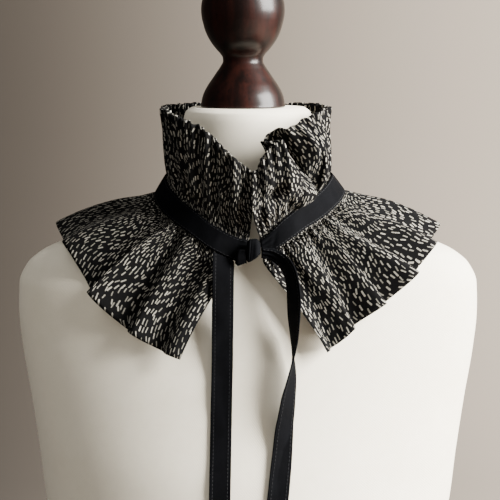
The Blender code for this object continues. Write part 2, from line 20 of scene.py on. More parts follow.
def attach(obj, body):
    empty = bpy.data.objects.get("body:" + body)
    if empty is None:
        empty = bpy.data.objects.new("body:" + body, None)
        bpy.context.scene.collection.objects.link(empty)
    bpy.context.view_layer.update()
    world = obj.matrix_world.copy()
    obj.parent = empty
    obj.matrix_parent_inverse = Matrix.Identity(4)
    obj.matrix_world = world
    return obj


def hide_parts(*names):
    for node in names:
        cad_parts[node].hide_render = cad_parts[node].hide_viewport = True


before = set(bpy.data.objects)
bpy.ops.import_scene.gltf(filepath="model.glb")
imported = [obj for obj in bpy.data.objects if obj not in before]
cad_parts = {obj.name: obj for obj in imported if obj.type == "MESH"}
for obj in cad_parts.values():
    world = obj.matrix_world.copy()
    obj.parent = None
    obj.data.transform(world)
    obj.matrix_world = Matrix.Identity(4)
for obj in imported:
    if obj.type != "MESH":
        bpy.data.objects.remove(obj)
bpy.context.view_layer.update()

log = logging.getLogger("ruffled_collar")

Place = tuple[float, float, float]
Colour = tuple[float, float, float, float]

UPWARD = np.array((0.0, 0.0, 1.0))
FORWARD = np.array((0.0, -1.0, 0.0))
NEARLY_ZERO = 1e-12
SMOOTH_ANGLE = 80.0


class Held(Enum):
    """How a sheet of the collar is held."""

    GATHERED = "gathered"
    HUNG = "hung"


class TapeRow(NamedTuple):
    """The tape's centre line at a turn, and how far its width leans in towards the neck."""

    turn: float
    radius: float
    height: float
    lean: float


class RimRow(NamedTuple):
    """The frill's rim at a turn."""

    turn: float
    radius: float
    height: float


class HemRow(NamedTuple):
    """The ruffle's hem at a share of the seam's length."""

    share: float
    turn: float
    radius: float
    height: float


class PleatRow(NamedTuple):
    """The frill's pleat at one level: its place at a share of the strip's length."""

    share: float
    turn: float
    radius: float


class FrillFold(NamedTuple):
    """A large fold of the frill, slanting from the seam to the rim."""

    seam_turn: float
    rim_turn: float
    half_width: float
    out: float


class RuffleFold(NamedTuple):
    """A crest at the ruffle's hem, the valley after it, and the crest's lean."""

    crest: float
    crest_out: float
    valley: float
    valley_in: float
    lean: float


class Section(NamedTuple):
    """A level section of the dress form, and how closely the mesh's rings lie there."""

    height: float
    half_width: float
    front: float
    back: float
    density: float


class TurnedRow(NamedTuple):
    """The finial's radius at a height above its foot."""

    height: float
    radius: float


class TailRow(NamedTuple):
    """A tail's centre line at a run along it, its least reach forward, its width and its twist."""

    run: float
    across: float
    height: float
    forward: float
    width: float
    twist: float


class Crease(NamedTuple):
    """A soft trough or ridge on a strip: its middle, its size, its depth and its slant."""

    share: float
    v: float
    half_width: float
    half_length: float
    out: float
    slant: float


class Furrow(NamedTuple):
    """A furrow round the knot's wrap: its place, its half width and its depth."""

    place: float
    half_width: float
    depth: float


class Shear(NamedTuple):
    """A shear of the print: which coordinate moves, its greatest slope, its rate and its phase."""

    moved: int
    slope: float
    rate: float
    phase: float


class Spread(NamedTuple):
    """A range of values, and the range that it is read as."""

    low: float
    high: float
    new_low: float
    new_high: float


class Lamp(NamedTuple):
    """A soft square light, and whether gloss mirrors it."""

    name: str
    place: Place
    aim: Place
    size: float
    power: float
    colour: Place
    mirrored: bool


# The window-like light at the upper right, and two weak ones that fill its shadows
LAMPS = (
    Lamp("key_light", (1.40, -0.46, 1.20), (0.0, 0.0, 0.55), 1.05, 260.0, (1.0, 0.985, 0.945), True),
    Lamp("top_light", (-0.7, -0.5, 2.1), (0.0, 0.0, 0.5), 1.8, 13.0, (1.0, 0.985, 0.95), False),
    Lamp("fill_light", (-1.3, -2.1, 1.0), (0.0, 0.0, 0.5), 2.4, 9.5, (1.0, 0.985, 0.95), False),
)

TAPE_PATH = [
    TapeRow(0.0, 0.0790, 0.5755, 0.30),
    TapeRow(7.0, 0.0792, 0.5785, 0.30),
    TapeRow(23.0, 0.0805, 0.5937, 0.36),
    TapeRow(32.0, 0.0788, 0.6003, 0.42),
    TapeRow(43.0, 0.0775, 0.6058, 0.48),
    TapeRow(57.0, 0.0762, 0.6128, 0.54),
    TapeRow(75.0, 0.0740, 0.6188, 0.60),
    TapeRow(90.0, 0.0728, 0.6200, 0.60),
    TapeRow(135.0, 0.0705, 0.6190, 0.50),
    TapeRow(180.0, 0.0690, 0.6160, 0.40),
    TapeRow(225.0, 0.0698, 0.6190, 0.46),
    TapeRow(270.0, 0.0705, 0.6190, 0.52),
    TapeRow(285.0, 0.0725, 0.6170, 0.52),
    TapeRow(302.0, 0.0755, 0.6105, 0.50),
    TapeRow(315.0, 0.0770, 0.6035, 0.45),
    TapeRow(327.0, 0.0786, 0.5967, 0.40),
    TapeRow(341.5, 0.0810, 0.5858, 0.34),
    TapeRow(355.0, 0.0792, 0.5770, 0.30),
    TapeRow(360.0, 0.0790, 0.5755, 0.30),
]

FRILL_RIM = [
    RimRow(0.0, 0.0800, 0.6350),
    RimRow(0.6, 0.0802, 0.6355),
    RimRow(7.8, 0.0835, 0.6480),
    RimRow(13.5, 0.0845, 0.6580),
    RimRow(17.2, 0.0845, 0.6590),
    RimRow(22.2, 0.0840, 0.6572),
    RimRow(25.2, 0.0834, 0.6603),
    RimRow(28.5, 0.0826, 0.6666),
    RimRow(32.0, 0.0818, 0.6697),
    RimRow(38.4, 0.0795, 0.6762),
    RimRow(46.0, 0.0762, 0.6790),
    RimRow(65.0, 0.0678, 0.6805),
    RimRow(90.0, 0.0622, 0.6810),
    RimRow(135.0, 0.0660, 0.6815),
    RimRow(180.0, 0.0710, 0.6755),
    RimRow(225.0, 0.0670, 0.6815),
    RimRow(270.0, 0.0665, 0.6810),
    RimRow(300.0, 0.0738, 0.6790),
    RimRow(316.0, 0.0800, 0.6770),
    RimRow(333.0, 0.0830, 0.6710),
    RimRow(344.5, 0.0850, 0.6575),
    RimRow(352.0, 0.0850, 0.6486),
    RimRow(358.5, 0.0810, 0.6400),
    RimRow(362.6, 0.0782, 0.6345),
]

# The pleat by the frill's right front edge, at the levels in UpperFrill.pleat_levels
PLEAT_LOW = [
    PleatRow(0.000, 2.8, 0.0850),
    PleatRow(0.030, 14.5, 0.0860),
    PleatRow(0.060, 30.0, 0.0880),
    PleatRow(0.072, 36.3, 0.0870),
    PleatRow(0.077, 36.9, 0.0825),
    PleatRow(0.083, 36.7, 0.0760),
    PleatRow(0.090, 38.6, 0.0765),
    PleatRow(0.100, 43.0, 0.0845),
    PleatRow(0.120, 49.0, 0.0830),
    PleatRow(0.160, 60.0, 0.0800),
]

PLEAT_MIDDLE = [
    PleatRow(0.000, 2.0, 0.0850),
    PleatRow(0.025, 11.5, 0.0870),
    PleatRow(0.045, 22.5, 0.0890),
    PleatRow(0.052, 25.9, 0.0880),
    PleatRow(0.057, 24.5, 0.0810),
    PleatRow(0.064, 18.0, 0.0700),
    PleatRow(0.076, 26.5, 0.0665),
    PleatRow(0.092, 39.0, 0.0860),
    PleatRow(0.110, 44.5, 0.0835),
    PleatRow(0.160, 59.0, 0.0770),
]

PLEAT_RIM = [
    PleatRow(0.000, 3.3, 0.0815),
    PleatRow(0.020, 7.3, 0.0842),
    PleatRow(0.034, 13.5, 0.0858),
    PleatRow(0.040, 16.4, 0.0852),
    PleatRow(0.046, 15.8, 0.0800),
    PleatRow(0.060, 8.1, 0.0690),
    PleatRow(0.070, 13.0, 0.0695),
    PleatRow(0.085, 23.4, 0.0785),
    PleatRow(0.105, 34.9, 0.0795),
    PleatRow(0.160, 58.2, 0.0725),
]

FRILL_FOLDS = [
    FrillFold(70.0, 62.0, 8.0, -0.0030),
    FrillFold(104.0, 106.0, 9.0, -0.0035),
    FrillFold(138.0, 134.0, 10.0, -0.0040),
    FrillFold(166.0, 170.0, 9.0, -0.0035),
    FrillFold(198.0, 204.0, 10.0, -0.0040),
    FrillFold(232.0, 228.0, 9.0, -0.0035),
    FrillFold(262.0, 264.0, 8.0, -0.0030),
    FrillFold(296.0, 300.0, 10.0, -0.0030),
    FrillFold(318.0, 326.0, 12.0, 0.0035),
    FrillFold(340.0, 344.0, 9.0, -0.0040),
]

RUFFLE_HEM = [
    HemRow(0.000, 29.5, 0.1150, 0.5020),
    HemRow(0.035, 36.5, 0.1140, 0.5080),
    HemRow(0.070, 44.5, 0.1185, 0.5215),
    HemRow(0.102, 57.0, 0.1320, 0.5400),
    HemRow(0.125, 64.0, 0.1415, 0.5540),
    HemRow(0.151, 73.0, 0.1475, 0.5690),
    HemRow(0.190, 82.0, 0.1500, 0.5775),
    HemRow(0.238, 93.0, 0.1520, 0.5805),
    HemRow(0.300, 112.0, 0.1480, 0.5740),
    HemRow(0.369, 137.0, 0.1300, 0.5500),
    HemRow(0.500, 180.0, 0.1060, 0.5340),
    HemRow(0.631, 223.0, 0.1300, 0.5500),
    HemRow(0.700, 248.0, 0.1480, 0.5740),
    HemRow(0.762, 268.0, 0.1530, 0.5810),
    HemRow(0.810, 279.0, 0.1500, 0.5770),
    HemRow(0.849, 289.0, 0.1460, 0.5690),
    HemRow(0.875, 298.0, 0.1400, 0.5470),
    HemRow(0.898, 305.5, 0.1320, 0.5290),
    HemRow(0.930, 316.0, 0.1215, 0.5125),
    HemRow(0.965, 325.0, 0.1150, 0.5030),
    HemRow(1.000, 333.0, 0.1115, 0.4975),
]

RUFFLE_FOLDS = [
    RuffleFold(30.0, 0.0030, 35.0, 0.0040, 0.5),
    RuffleFold(40.0, 0.0060, 45.0, 0.0055, 0.9),
    RuffleFold(50.5, 0.0070, 56.0, 0.0065, 1.0),
    RuffleFold(61.0, 0.0090, 67.0, 0.0105, 1.1),
    RuffleFold(72.5, 0.0085, 80.5, 0.0130, 0.7),
    RuffleFold(88.0, 0.0080, 96.0, 0.0060, 0.1),
    RuffleFold(103.5, 0.0070, 110.5, 0.0060, -0.3),
    RuffleFold(118.0, 0.0070, 125.0, 0.0060, -0.5),
    RuffleFold(133.0, 0.0075, 141.0, 0.0060, -0.5),
    RuffleFold(149.0, 0.0070, 157.0, 0.0060, -0.4),
    RuffleFold(166.0, 0.0075, 175.0, 0.0060, -0.2),
    RuffleFold(184.0, 0.0070, 193.0, 0.0060, 0.2),
    RuffleFold(201.0, 0.0075, 209.0, 0.0060, 0.4),
    RuffleFold(217.0, 0.0070, 225.0, 0.0060, 0.5),
    RuffleFold(232.0, 0.0075, 239.5, 0.0060, 0.5),
    RuffleFold(247.0, 0.0070, 254.0, 0.0050, 0.3),
    RuffleFold(268.0, 0.0060, 279.0, 0.0010, -0.1),
    RuffleFold(287.0, 0.0050, 299.5, 0.0125, -0.3),
    RuffleFold(304.0, 0.0100, 310.5, 0.0060, -1.3),
    RuffleFold(316.5, 0.0065, 323.5, 0.0055, -0.4),
    RuffleFold(330.0, 0.0035, 335.0, 0.0010, -0.2),
]

FORM_SECTIONS = [
    Section(0.0000, 0.1660, 0.1060, 0.1060, 0.55),
    Section(0.0040, 0.1700, 0.1100, 0.1100, 0.60),
    Section(0.0300, 0.1720, 0.1120, 0.1120, 1.00),
    Section(0.0800, 0.1650, 0.1080, 0.1060, 0.80),
    Section(0.1400, 0.1430, 0.0980, 0.0880, 0.70),
    Section(0.2050, 0.1290, 0.0920, 0.0740, 0.70),
    Section(0.2500, 0.1360, 0.0980, 0.0770, 0.70),
    Section(0.3000, 0.1530, 0.1170, 0.0880, 0.70),
    Section(0.3550, 0.1690, 0.1320, 0.0970, 0.80),
    Section(0.4000, 0.1740, 0.1230, 0.1020, 0.80),
    Section(0.4450, 0.1800, 0.1080, 0.1040, 0.80),
    Section(0.4850, 0.1860, 0.0960, 0.1010, 0.90),
    Section(0.5150, 0.1885, 0.0860, 0.0950, 1.20),
    Section(0.5385, 0.1875, 0.0780, 0.0890, 1.80),
    Section(0.5530, 0.1810, 0.0730, 0.0840, 2.60),
    Section(0.5640, 0.1680, 0.0690, 0.0790, 3.00),
    Section(0.5740, 0.1450, 0.0660, 0.0740, 3.00),
    Section(0.5840, 0.1230, 0.0630, 0.0700, 3.00),
    Section(0.5940, 0.0985, 0.0600, 0.0660, 3.00),
    Section(0.6030, 0.0780, 0.0570, 0.0620, 3.00),
    Section(0.6130, 0.0610, 0.0540, 0.0570, 2.60),
    Section(0.6280, 0.0545, 0.0520, 0.0530, 1.60),
    Section(0.6500, 0.0525, 0.0505, 0.0510, 1.20),
    Section(0.6700, 0.0518, 0.0500, 0.0500, 1.60),
    Section(0.6765, 0.0500, 0.0485, 0.0485, 6.00),
    Section(0.6800, 0.0455, 0.0440, 0.0440, 9.00),
]

FINIAL_OUTLINE = [
    TurnedRow(0.0000, 0.0334),
    TurnedRow(0.0008, 0.0341),
    TurnedRow(0.0018, 0.0337),
    TurnedRow(0.0050, 0.0332),
    TurnedRow(0.0093, 0.0321),
    TurnedRow(0.0167, 0.0284),
    TurnedRow(0.0217, 0.0250),
    TurnedRow(0.0267, 0.0216),
    TurnedRow(0.0320, 0.0180),
    TurnedRow(0.0361, 0.0160),
    TurnedRow(0.0385, 0.0161),
    TurnedRow(0.0416, 0.0178),
    TurnedRow(0.0455, 0.0213),
    TurnedRow(0.0526, 0.0265),
    TurnedRow(0.0599, 0.0300),
    TurnedRow(0.0680, 0.0323),
]

TAIL_LEFT = [
    TailRow(0.0000, -0.0184, 0.5729, 0.0829, 1.00, -4.0),
    TailRow(0.0129, -0.0186, 0.5600, 0.0880, 1.00, -5.0),
    TailRow(0.0279, -0.0187, 0.5450, 0.0912, 1.00, -6.0),
    TailRow(0.0529, -0.0190, 0.5200, 0.0930, 1.00, -6.0),
    TailRow(0.0829, -0.0194, 0.4900, 0.0960, 1.00, -6.0),
    TailRow(0.1329, -0.0202, 0.4400, 0.1080, 1.00, 3.0),
    TailRow(0.1829, -0.0210, 0.3900, 0.1200, 1.00, 3.0),
    TailRow(0.2179, -0.0216, 0.3550, 0.1330, 1.00, 0.0),
    TailRow(0.2829, -0.0220, 0.2900, 0.1340, 1.00, 0.0),
]

TAIL_RIGHT = [
    TailRow(0.0000, 0.0103, 0.5759, 0.0846, 0.44, 0.0),
    TailRow(0.0070, 0.0172, 0.5750, 0.0856, 0.50, 6.0),
    TailRow(0.0130, 0.0226, 0.5724, 0.0880, 0.62, 20.0),
    TailRow(0.0180, 0.0266, 0.5692, 0.0908, 0.78, 38.0),
    TailRow(0.0240, 0.0302, 0.5644, 0.0950, 0.95, 50.0),
    TailRow(0.0330, 0.0330, 0.5556, 0.0978, 1.00, 54.0),
    TailRow(0.0430, 0.0342, 0.5458, 0.0992, 1.00, 54.0),
    TailRow(0.0580, 0.0344, 0.5310, 0.1000, 1.00, 60.0),
    TailRow(0.0720, 0.0343, 0.5171, 0.1005, 1.00, 70.0),
    TailRow(0.0860, 0.0333, 0.5029, 0.1035, 1.00, 88.0),
    TailRow(0.1040, 0.0318, 0.4850, 0.1060, 1.00, 116.0),
    TailRow(0.1210, 0.0297, 0.4680, 0.1088, 1.00, 134.0),
    TailRow(0.1550, 0.0260, 0.4340, 0.1122, 1.00, 154.0),
    TailRow(0.1900, 0.0222, 0.3990, 0.1200, 1.00, 172.0),
    TailRow(0.2340, 0.0182, 0.3550, 0.1330, 1.00, 180.0),
    TailRow(0.2840, 0.0150, 0.3050, 0.1340, 1.00, 180.0),
]

# Creases on the frill; shares run from the right front edge round the back to the left one
FRILL_CREASES = [
    Crease(0.027, 0.54, 0.0085, 0.13, -0.0070, 0.00),
    Crease(0.016, 0.40, 0.0045, 0.20, 0.0018, 0.03),
    Crease(0.043, 0.38, 0.0040, 0.18, -0.0030, -0.03),
    Crease(0.056, 0.32, 0.0045, 0.20, 0.0020, -0.04),
    Crease(0.020, 0.66, 0.0050, 0.16, -0.0010, -0.05),
    Crease(0.110, 0.50, 0.0060, 0.35, -0.0012, 0.01),
    Crease(0.160, 0.62, 0.0050, 0.30, 0.0012, 0.00),
    Crease(0.235, 0.45, 0.0060, 0.34, -0.0014, 0.01),
    Crease(0.300, 0.60, 0.0060, 0.30, 0.0013, -0.01),
    Crease(0.385, 0.50, 0.0070, 0.36, -0.0015, 0.00),
    Crease(0.470, 0.55, 0.0060, 0.30, 0.0014, 0.01),
    Crease(0.545, 0.48, 0.0070, 0.36, -0.0014, 0.00),
    Crease(0.630, 0.60, 0.0060, 0.30, 0.0012, 0.01),
    Crease(0.705, 0.50, 0.0070, 0.35, -0.0013, -0.01),
    Crease(0.790, 0.55, 0.0070, 0.30, 0.0014, 0.00),
    Crease(0.858, 0.45, 0.0090, 0.30, -0.0020, -0.06),
    Crease(0.905, 0.50, 0.0100, 0.26, 0.0024, -0.07),
    Crease(0.948, 0.42, 0.0080, 0.30, -0.0020, -0.05),
    Crease(0.978, 0.38, 0.0060, 0.26, 0.0014, -0.02),
]

# Creases on the ruffle, counted the same way
RUFFLE_CREASES = [
    Crease(0.012, 0.62, 0.0060, 0.26, -0.0015, 0.010),
    Crease(0.040, 0.50, 0.0045, 0.30, 0.0016, 0.006),
    Crease(0.062, 0.66, 0.0040, 0.24, -0.0014, 0.004),
    Crease(0.088, 0.52, 0.0050, 0.32, 0.0016, 0.004),
    Crease(0.118, 0.62, 0.0070, 0.42, -0.0060, 0.004),
    Crease(0.142, 0.46, 0.0050, 0.28, 0.0018, 0.002),
    Crease(0.178, 0.60, 0.0085, 0.42, -0.0080, 0.000),
    Crease(0.215, 0.60, 0.0080, 0.28, 0.0014, -0.002),
    Crease(0.262, 0.50, 0.0070, 0.30, -0.0016, 0.000),
    Crease(0.318, 0.62, 0.0070, 0.26, 0.0015, 0.002),
    Crease(0.372, 0.50, 0.0070, 0.34, -0.0016, 0.000),
    Crease(0.428, 0.58, 0.0080, 0.30, 0.0015, -0.002),
    Crease(0.486, 0.48, 0.0070, 0.30, -0.0016, 0.000),
    Crease(0.543, 0.60, 0.0070, 0.28, 0.0015, 0.002),
    Crease(0.602, 0.52, 0.0080, 0.34, -0.0016, 0.000),
    Crease(0.660, 0.60, 0.0070, 0.26, 0.0014, -0.002),
    Crease(0.716, 0.50, 0.0070, 0.30, -0.0015, 0.000),
    Crease(0.770, 0.58, 0.0090, 0.28, 0.0014, 0.002),
    Crease(0.868, 0.56, 0.0080, 0.42, -0.0060, -0.003),
    Crease(0.890, 0.58, 0.0060, 0.38, 0.0030, -0.004),
    Crease(0.912, 0.48, 0.0055, 0.32, -0.0030, -0.004),
    Crease(0.940, 0.60, 0.0070, 0.28, 0.0014, -0.006),
    Crease(0.972, 0.50, 0.0060, 0.30, -0.0014, -0.008),
]

# Creases on the neck tape, most of them by the knot
TAPE_CREASES = [
    Crease(0.020, 0.40, 0.0030, 0.60, -0.0004, 0.010),
    Crease(0.052, 0.60, 0.0040, 0.50, 0.0003, -0.012),
    Crease(0.150, 0.50, 0.0060, 0.60, -0.0003, 0.010),
    Crease(0.330, 0.50, 0.0070, 0.60, 0.0003, -0.010),
    Crease(0.520, 0.50, 0.0070, 0.60, -0.0003, 0.008),
    Crease(0.700, 0.50, 0.0070, 0.60, 0.0003, -0.008),
    Crease(0.860, 0.50, 0.0060, 0.60, -0.0003, 0.010),
    Crease(0.955, 0.55, 0.0040, 0.60, 0.0004, 0.014),
    Crease(0.985, 0.45, 0.0030, 0.60, -0.0005, 0.010),
]


class Column:
    """A table's column read as a smooth curve that never overshoots its rows."""

    def __init__(self, rows: Sequence[NamedTuple], name: str) -> None:
        """Work out the slopes at the rows.

        Args:
            rows: The table, in the order of its first column.
            name: The column to read.
        """
        self.places = np.array([row[0] for row in rows], dtype=float)
        self.values = np.array([getattr(row, name) for row in rows], dtype=float)
        steps = np.diff(self.values) / np.diff(self.places)
        before, after = steps[:-1], steps[1:]
        alike = before * after > 0
        middle = np.where(alike, 2 * before * after / np.where(alike, before + after, 1.0), 0.0)
        self.slopes = np.concatenate(([steps[0]], middle, [steps[-1]]))

    def at(self, place: np.ndarray) -> np.ndarray:
        """Read the column.

        Args:
            place: Places in the table's first column.

        Returns:
            The values there.
        """
        place = np.clip(place, self.places[0], self.places[-1])
        i = np.clip(np.searchsorted(self.places, place, side="right") - 1, 0, len(self.places) - 2)
        span = self.places[i + 1] - self.places[i]
        t = (place - self.places[i]) / span
        start = (1 + 2 * t) * (1 - t) ** 2 * self.values[i] + t * (1 - t) ** 2 * span * self.slopes[i]
        end = t * t * (3 - 2 * t) * self.values[i + 1] - t * t * (1 - t) * span * self.slopes[i + 1]
        return start + end


def around(turn: np.ndarray, radius: np.ndarray, height: np.ndarray) -> np.ndarray:
    """Points at turns round the neck's axis.

    Args:
        turn: Degrees round the neck.
        radius: Distances from the axis.
        height: Heights above the form's underside.

    Returns:
        Points, with their three coordinates last.
    """
    angle = np.radians(turn)
    x, y, z = np.broadcast_arrays(radius * np.sin(angle), -radius * np.cos(angle), height)
    return np.stack((x, y, z), axis=-1)


def bell(distance: np.ndarray, half_width: float) -> np.ndarray:
    """A smooth hump, 1 in the middle and 0 past its half width."""
    share = np.clip(np.abs(distance) / half_width, 0.0, 1.0)
    return 0.5 + 0.5 * np.cos(np.pi * share)


def ramp(value: np.ndarray, low: float, high: float) -> np.ndarray:
    """A smooth step from 0 at low to 1 at high."""
    t = np.clip((value - low) / (high - low), 0.0, 1.0)
    return t * t * (3 - 2 * t)


def bezier(start: np.ndarray, first: np.ndarray, second: np.ndarray, end: np.ndarray,
           t: np.ndarray) -> np.ndarray:
    """Points on cubic curves between two points with their handles."""
    s = 1 - t
    return s ** 3 * start + 3 * s * s * t * first + 3 * s * t * t * second + t ** 3 * end


def between(ends: tuple[float, float], share: np.ndarray) -> np.ndarray:
    """Values at shares of the way between two ends."""
    return ends[0] + (ends[1] - ends[0]) * share


def unit(vectors: np.ndarray) -> np.ndarray:
    """The vectors at length 1."""
    return vectors / np.maximum(np.linalg.norm(vectors, axis=-1, keepdims=True), NEARLY_ZERO)


def creased(creases: Sequence[Crease], share: np.ndarray, v: np.ndarray, length: float) -> np.ndarray:
    """How far a strip's creases stand out.

    Args:
        creases: The table of creases.
        share: Shares along the strip, as a column.
        v: Shares across the strip, as a row.
        length: The strip's length, which turns shares into metres.

    Returns:
        The offsets, one for each grid point.
    """
    out = np.zeros(np.broadcast(share, v).shape)
    for crease in creases:
        middle = crease.share + crease.slant * (v - crease.v)
        away = (share - middle) * length
        out += crease.out * bell(away, crease.half_width) * bell(v - crease.v, crease.half_length)
    return out


def grid_shares(columns: int, rows: int) -> tuple[np.ndarray, np.ndarray]:
    """Shares along a strip as a column, and across it as a row."""
    return np.linspace(0, 1, columns + 1)[:, None], np.linspace(0, 1, rows + 1)[None, :]


def surface_frame(points: np.ndarray, upward: bool) -> tuple[np.ndarray, np.ndarray]:
    """Outward directions and directions along a strip.

    Args:
        points: The strip's grid of points.
        upward: Whether the grid's rows climb from the tape.

    Returns:
        The outward unit vectors and the unit vectors along the strip.
    """
    along = np.gradient(points, axis=0)
    across = np.gradient(points, axis=1)
    normal = np.cross(along, across) if upward else np.cross(across, along)
    return unit(normal), unit(along)


def keep_off(points: np.ndarray, form: BVHTree, gap: float, reach: float = 0.05) -> np.ndarray:
    """Move points out of the form until they are clear of it.

    Args:
        points: A grid of points.
        form: The form's surface.
        gap: The least distance between a point and the form.
        reach: How far away the form is looked for.

    Returns:
        The grid with its points moved.
    """
    moved = points.copy()
    for i, j in np.ndindex(points.shape[:2]):
        point = Vector(points[i, j])
        near, normal, _, distance = form.find_nearest(point, reach)
        if near is not None and ((point - near).dot(normal) < 0 or distance < gap):
            moved[i, j] = near + normal * gap
    return moved


class Scene:
    """The objects' collection and what every piece of it needs."""

    BODY = "root"
    MAP = "flat_cloth"

    @staticmethod
    def link(name: str, bm: bmesh.types.BMesh, material: bpy.types.Material,
             sharp_angle: float = 60.0) -> bpy.types.Object:
        """Turn a bmesh into an object of the scene, shaded smooth.

        Args:
            name: The object's name.
            bm: Its shape, which is freed.
            material: Its finish.
            sharp_angle: Degrees past which an edge stays sharp.

        Returns:
            The object, riding on the part's only body.
        """
        mesh = bpy.data.meshes.new(name)
        bm.to_mesh(mesh)
        bm.free()
        mesh.materials.append(material)
        mesh.shade_smooth()
        mesh.set_sharp_from_angle(angle=math.radians(sharp_angle))
        piece = bpy.data.objects.new(name, mesh)
        bpy.context.scene.collection.objects.link(piece)
        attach(piece, Scene.BODY)
        log.info("%s: %d faces", name, len(mesh.polygons))
        return piece

    @staticmethod
    def cloth(name: str, points: np.ndarray, flat: tuple[float, float], material: bpy.types.Material,
              thickness: float, flip: bool = False, hem: Optional[np.ndarray] = None,
              hem_thickness: float = 0.0, run: Optional[np.ndarray] = None) -> bpy.types.Object:
        """Make a thin cloth from a grid of points, with a map in metres of flat cloth.

        Args:
            name: The object's name.
            points: The grid of points, along and then across.
            flat: The cloth's flat length and width.
            material: Its finish.
            thickness: The cloth's thickness.
            flip: Whether the grid's faces are turned round.
            hem: Shares from 0 to 1 of how much each point belongs to a doubled hem.
            hem_thickness: The thickness at the hem.
            run: The cloth's flat length up to each column, if its columns lie unevenly.

        Returns:
            The object.
        """
        columns, rows = points.shape[0] - 1, points.shape[1] - 1
        bm = bmesh.new()
        bmesh.ops.create_grid(bm, x_segments=columns, y_segments=rows, size=0.5)
        uv_layer = bm.loops.layers.uv.new(Scene.MAP)
        group = bm.verts.layers.deform.verify() if hem is not None else None
        run = np.linspace(0, flat[0], columns + 1) if run is None else run
        for face in bm.faces:
            for loop in face.loops:
                at = loop.vert.co
                loop[uv_layer].uv = (run[round((at.x + 0.5) * columns)], (at.y + 0.5) * flat[1])
        for vert in bm.verts:
            i = round((vert.co.x + 0.5) * columns)
            j = round((vert.co.y + 0.5) * rows)
            vert.co = points[i, j]
            if group is not None:
                vert[group][0] = float(hem[i, j])
        if flip:
            bmesh.ops.reverse_faces(bm, faces=bm.faces[:])
        piece = Scene.link(name, bm, material)
        wall = piece.modifiers.new("thickness", "SOLIDIFY")
        wall.offset = 0.0
        wall.thickness = thickness
        if hem is not None:
            piece.vertex_groups.new(name="hem")
            wall.vertex_group = "hem"
            wall.thickness = hem_thickness
            wall.thickness_vertex_group = thickness / hem_thickness
        return piece


class NodeTree:
    """Short ways to add nodes to a material or a node group."""

    def __init__(self, tree: bpy.types.NodeTree) -> None:
        """Hold the tree."""
        self.tree = tree

    def add(self, kind: str, **settings: object) -> bpy.types.Node:
        """Add a node and set its properties."""
        node = self.tree.nodes.new(kind)
        for name, value in settings.items():
            setattr(node, name, value)
        return node

    def join(self, output: bpy.types.NodeSocket, target: bpy.types.NodeSocket) -> None:
        """Link two sockets."""
        self.tree.links.new(output, target)

    def feed(self, node: bpy.types.Node, values: Sequence[object]) -> None:
        """Give a node's inputs, in order, a link, a number or nothing."""
        for target, value in zip(node.inputs, values):
            if isinstance(value, bpy.types.NodeSocket):
                self.join(value, target)
            elif value is not None:
                target.default_value = value

    def math(self, operation: str, *values: object) -> bpy.types.NodeSocket:
        """Add a Math node and return its output."""
        node = self.add("ShaderNodeMath", operation=operation)
        self.feed(node, values)
        return node.outputs[0]

    def vector(self, operation: str, *values: object) -> bpy.types.NodeSocket:
        """Add a Vector Math node and return its vector output."""
        node = self.add("ShaderNodeVectorMath", operation=operation)
        self.feed(node, values)
        return node.outputs["Vector"]

    def mix_colour(self, factor: object, first: object, second: object) -> bpy.types.NodeSocket:
        """Add a colour mix and return its output."""
        node = self.add("ShaderNodeMix", data_type="RGBA")
        for name, value in (("Factor_Float", factor), ("A_Color", first), ("B_Color", second)):
            target = next(s for s in node.inputs if s.identifier == name)
            if isinstance(value, bpy.types.NodeSocket):
                self.join(value, target)
            else:
                target.default_value = value
        return next(s for s in node.outputs if s.identifier == "Result_Color")

    def length(self, first: object, second: object) -> bpy.types.NodeSocket:
        """Add the nodes for the length of a way with two parts, and return their output."""
        squares = self.math("ADD", self.math("POWER", first, 2.0), self.math("POWER", second, 2.0))
        return self.math("SQRT", squares)

    def range(self, value: object, low: object, high: object, new_low: float, new_high: float,
              smooth: bool = True) -> bpy.types.NodeSocket:
        """Add a Map Range node and return its output."""
        node = self.add("ShaderNodeMapRange", interpolation_type="SMOOTHSTEP" if smooth else "LINEAR")
        self.feed(node, (value, low, high, new_low, new_high))
        return node.outputs[0]

    def spread(self, value: object, spread: Spread, smooth: bool = True) -> bpy.types.NodeSocket:
        """Add a Map Range node for a spread and return its output."""
        return self.range(value, *spread, smooth)

    def noise(self, vector: object, scale: float, detail: float = 3.0,
              roughness: float = 0.5) -> bpy.types.Node:
        """Add a Noise Texture node."""
        node = self.add("ShaderNodeTexNoise", noise_dimensions="3D")
        self.join(vector, node.inputs["Vector"])
        node.inputs["Scale"].default_value = scale
        node.inputs["Detail"].default_value = detail
        node.inputs["Roughness"].default_value = roughness
        return node


class GroupParts(NamedTuple):
    """A new node group, its helper, its input node and its output node."""

    tree: bpy.types.NodeTree
    helper: NodeTree
    source: bpy.types.Node
    sink: bpy.types.Node


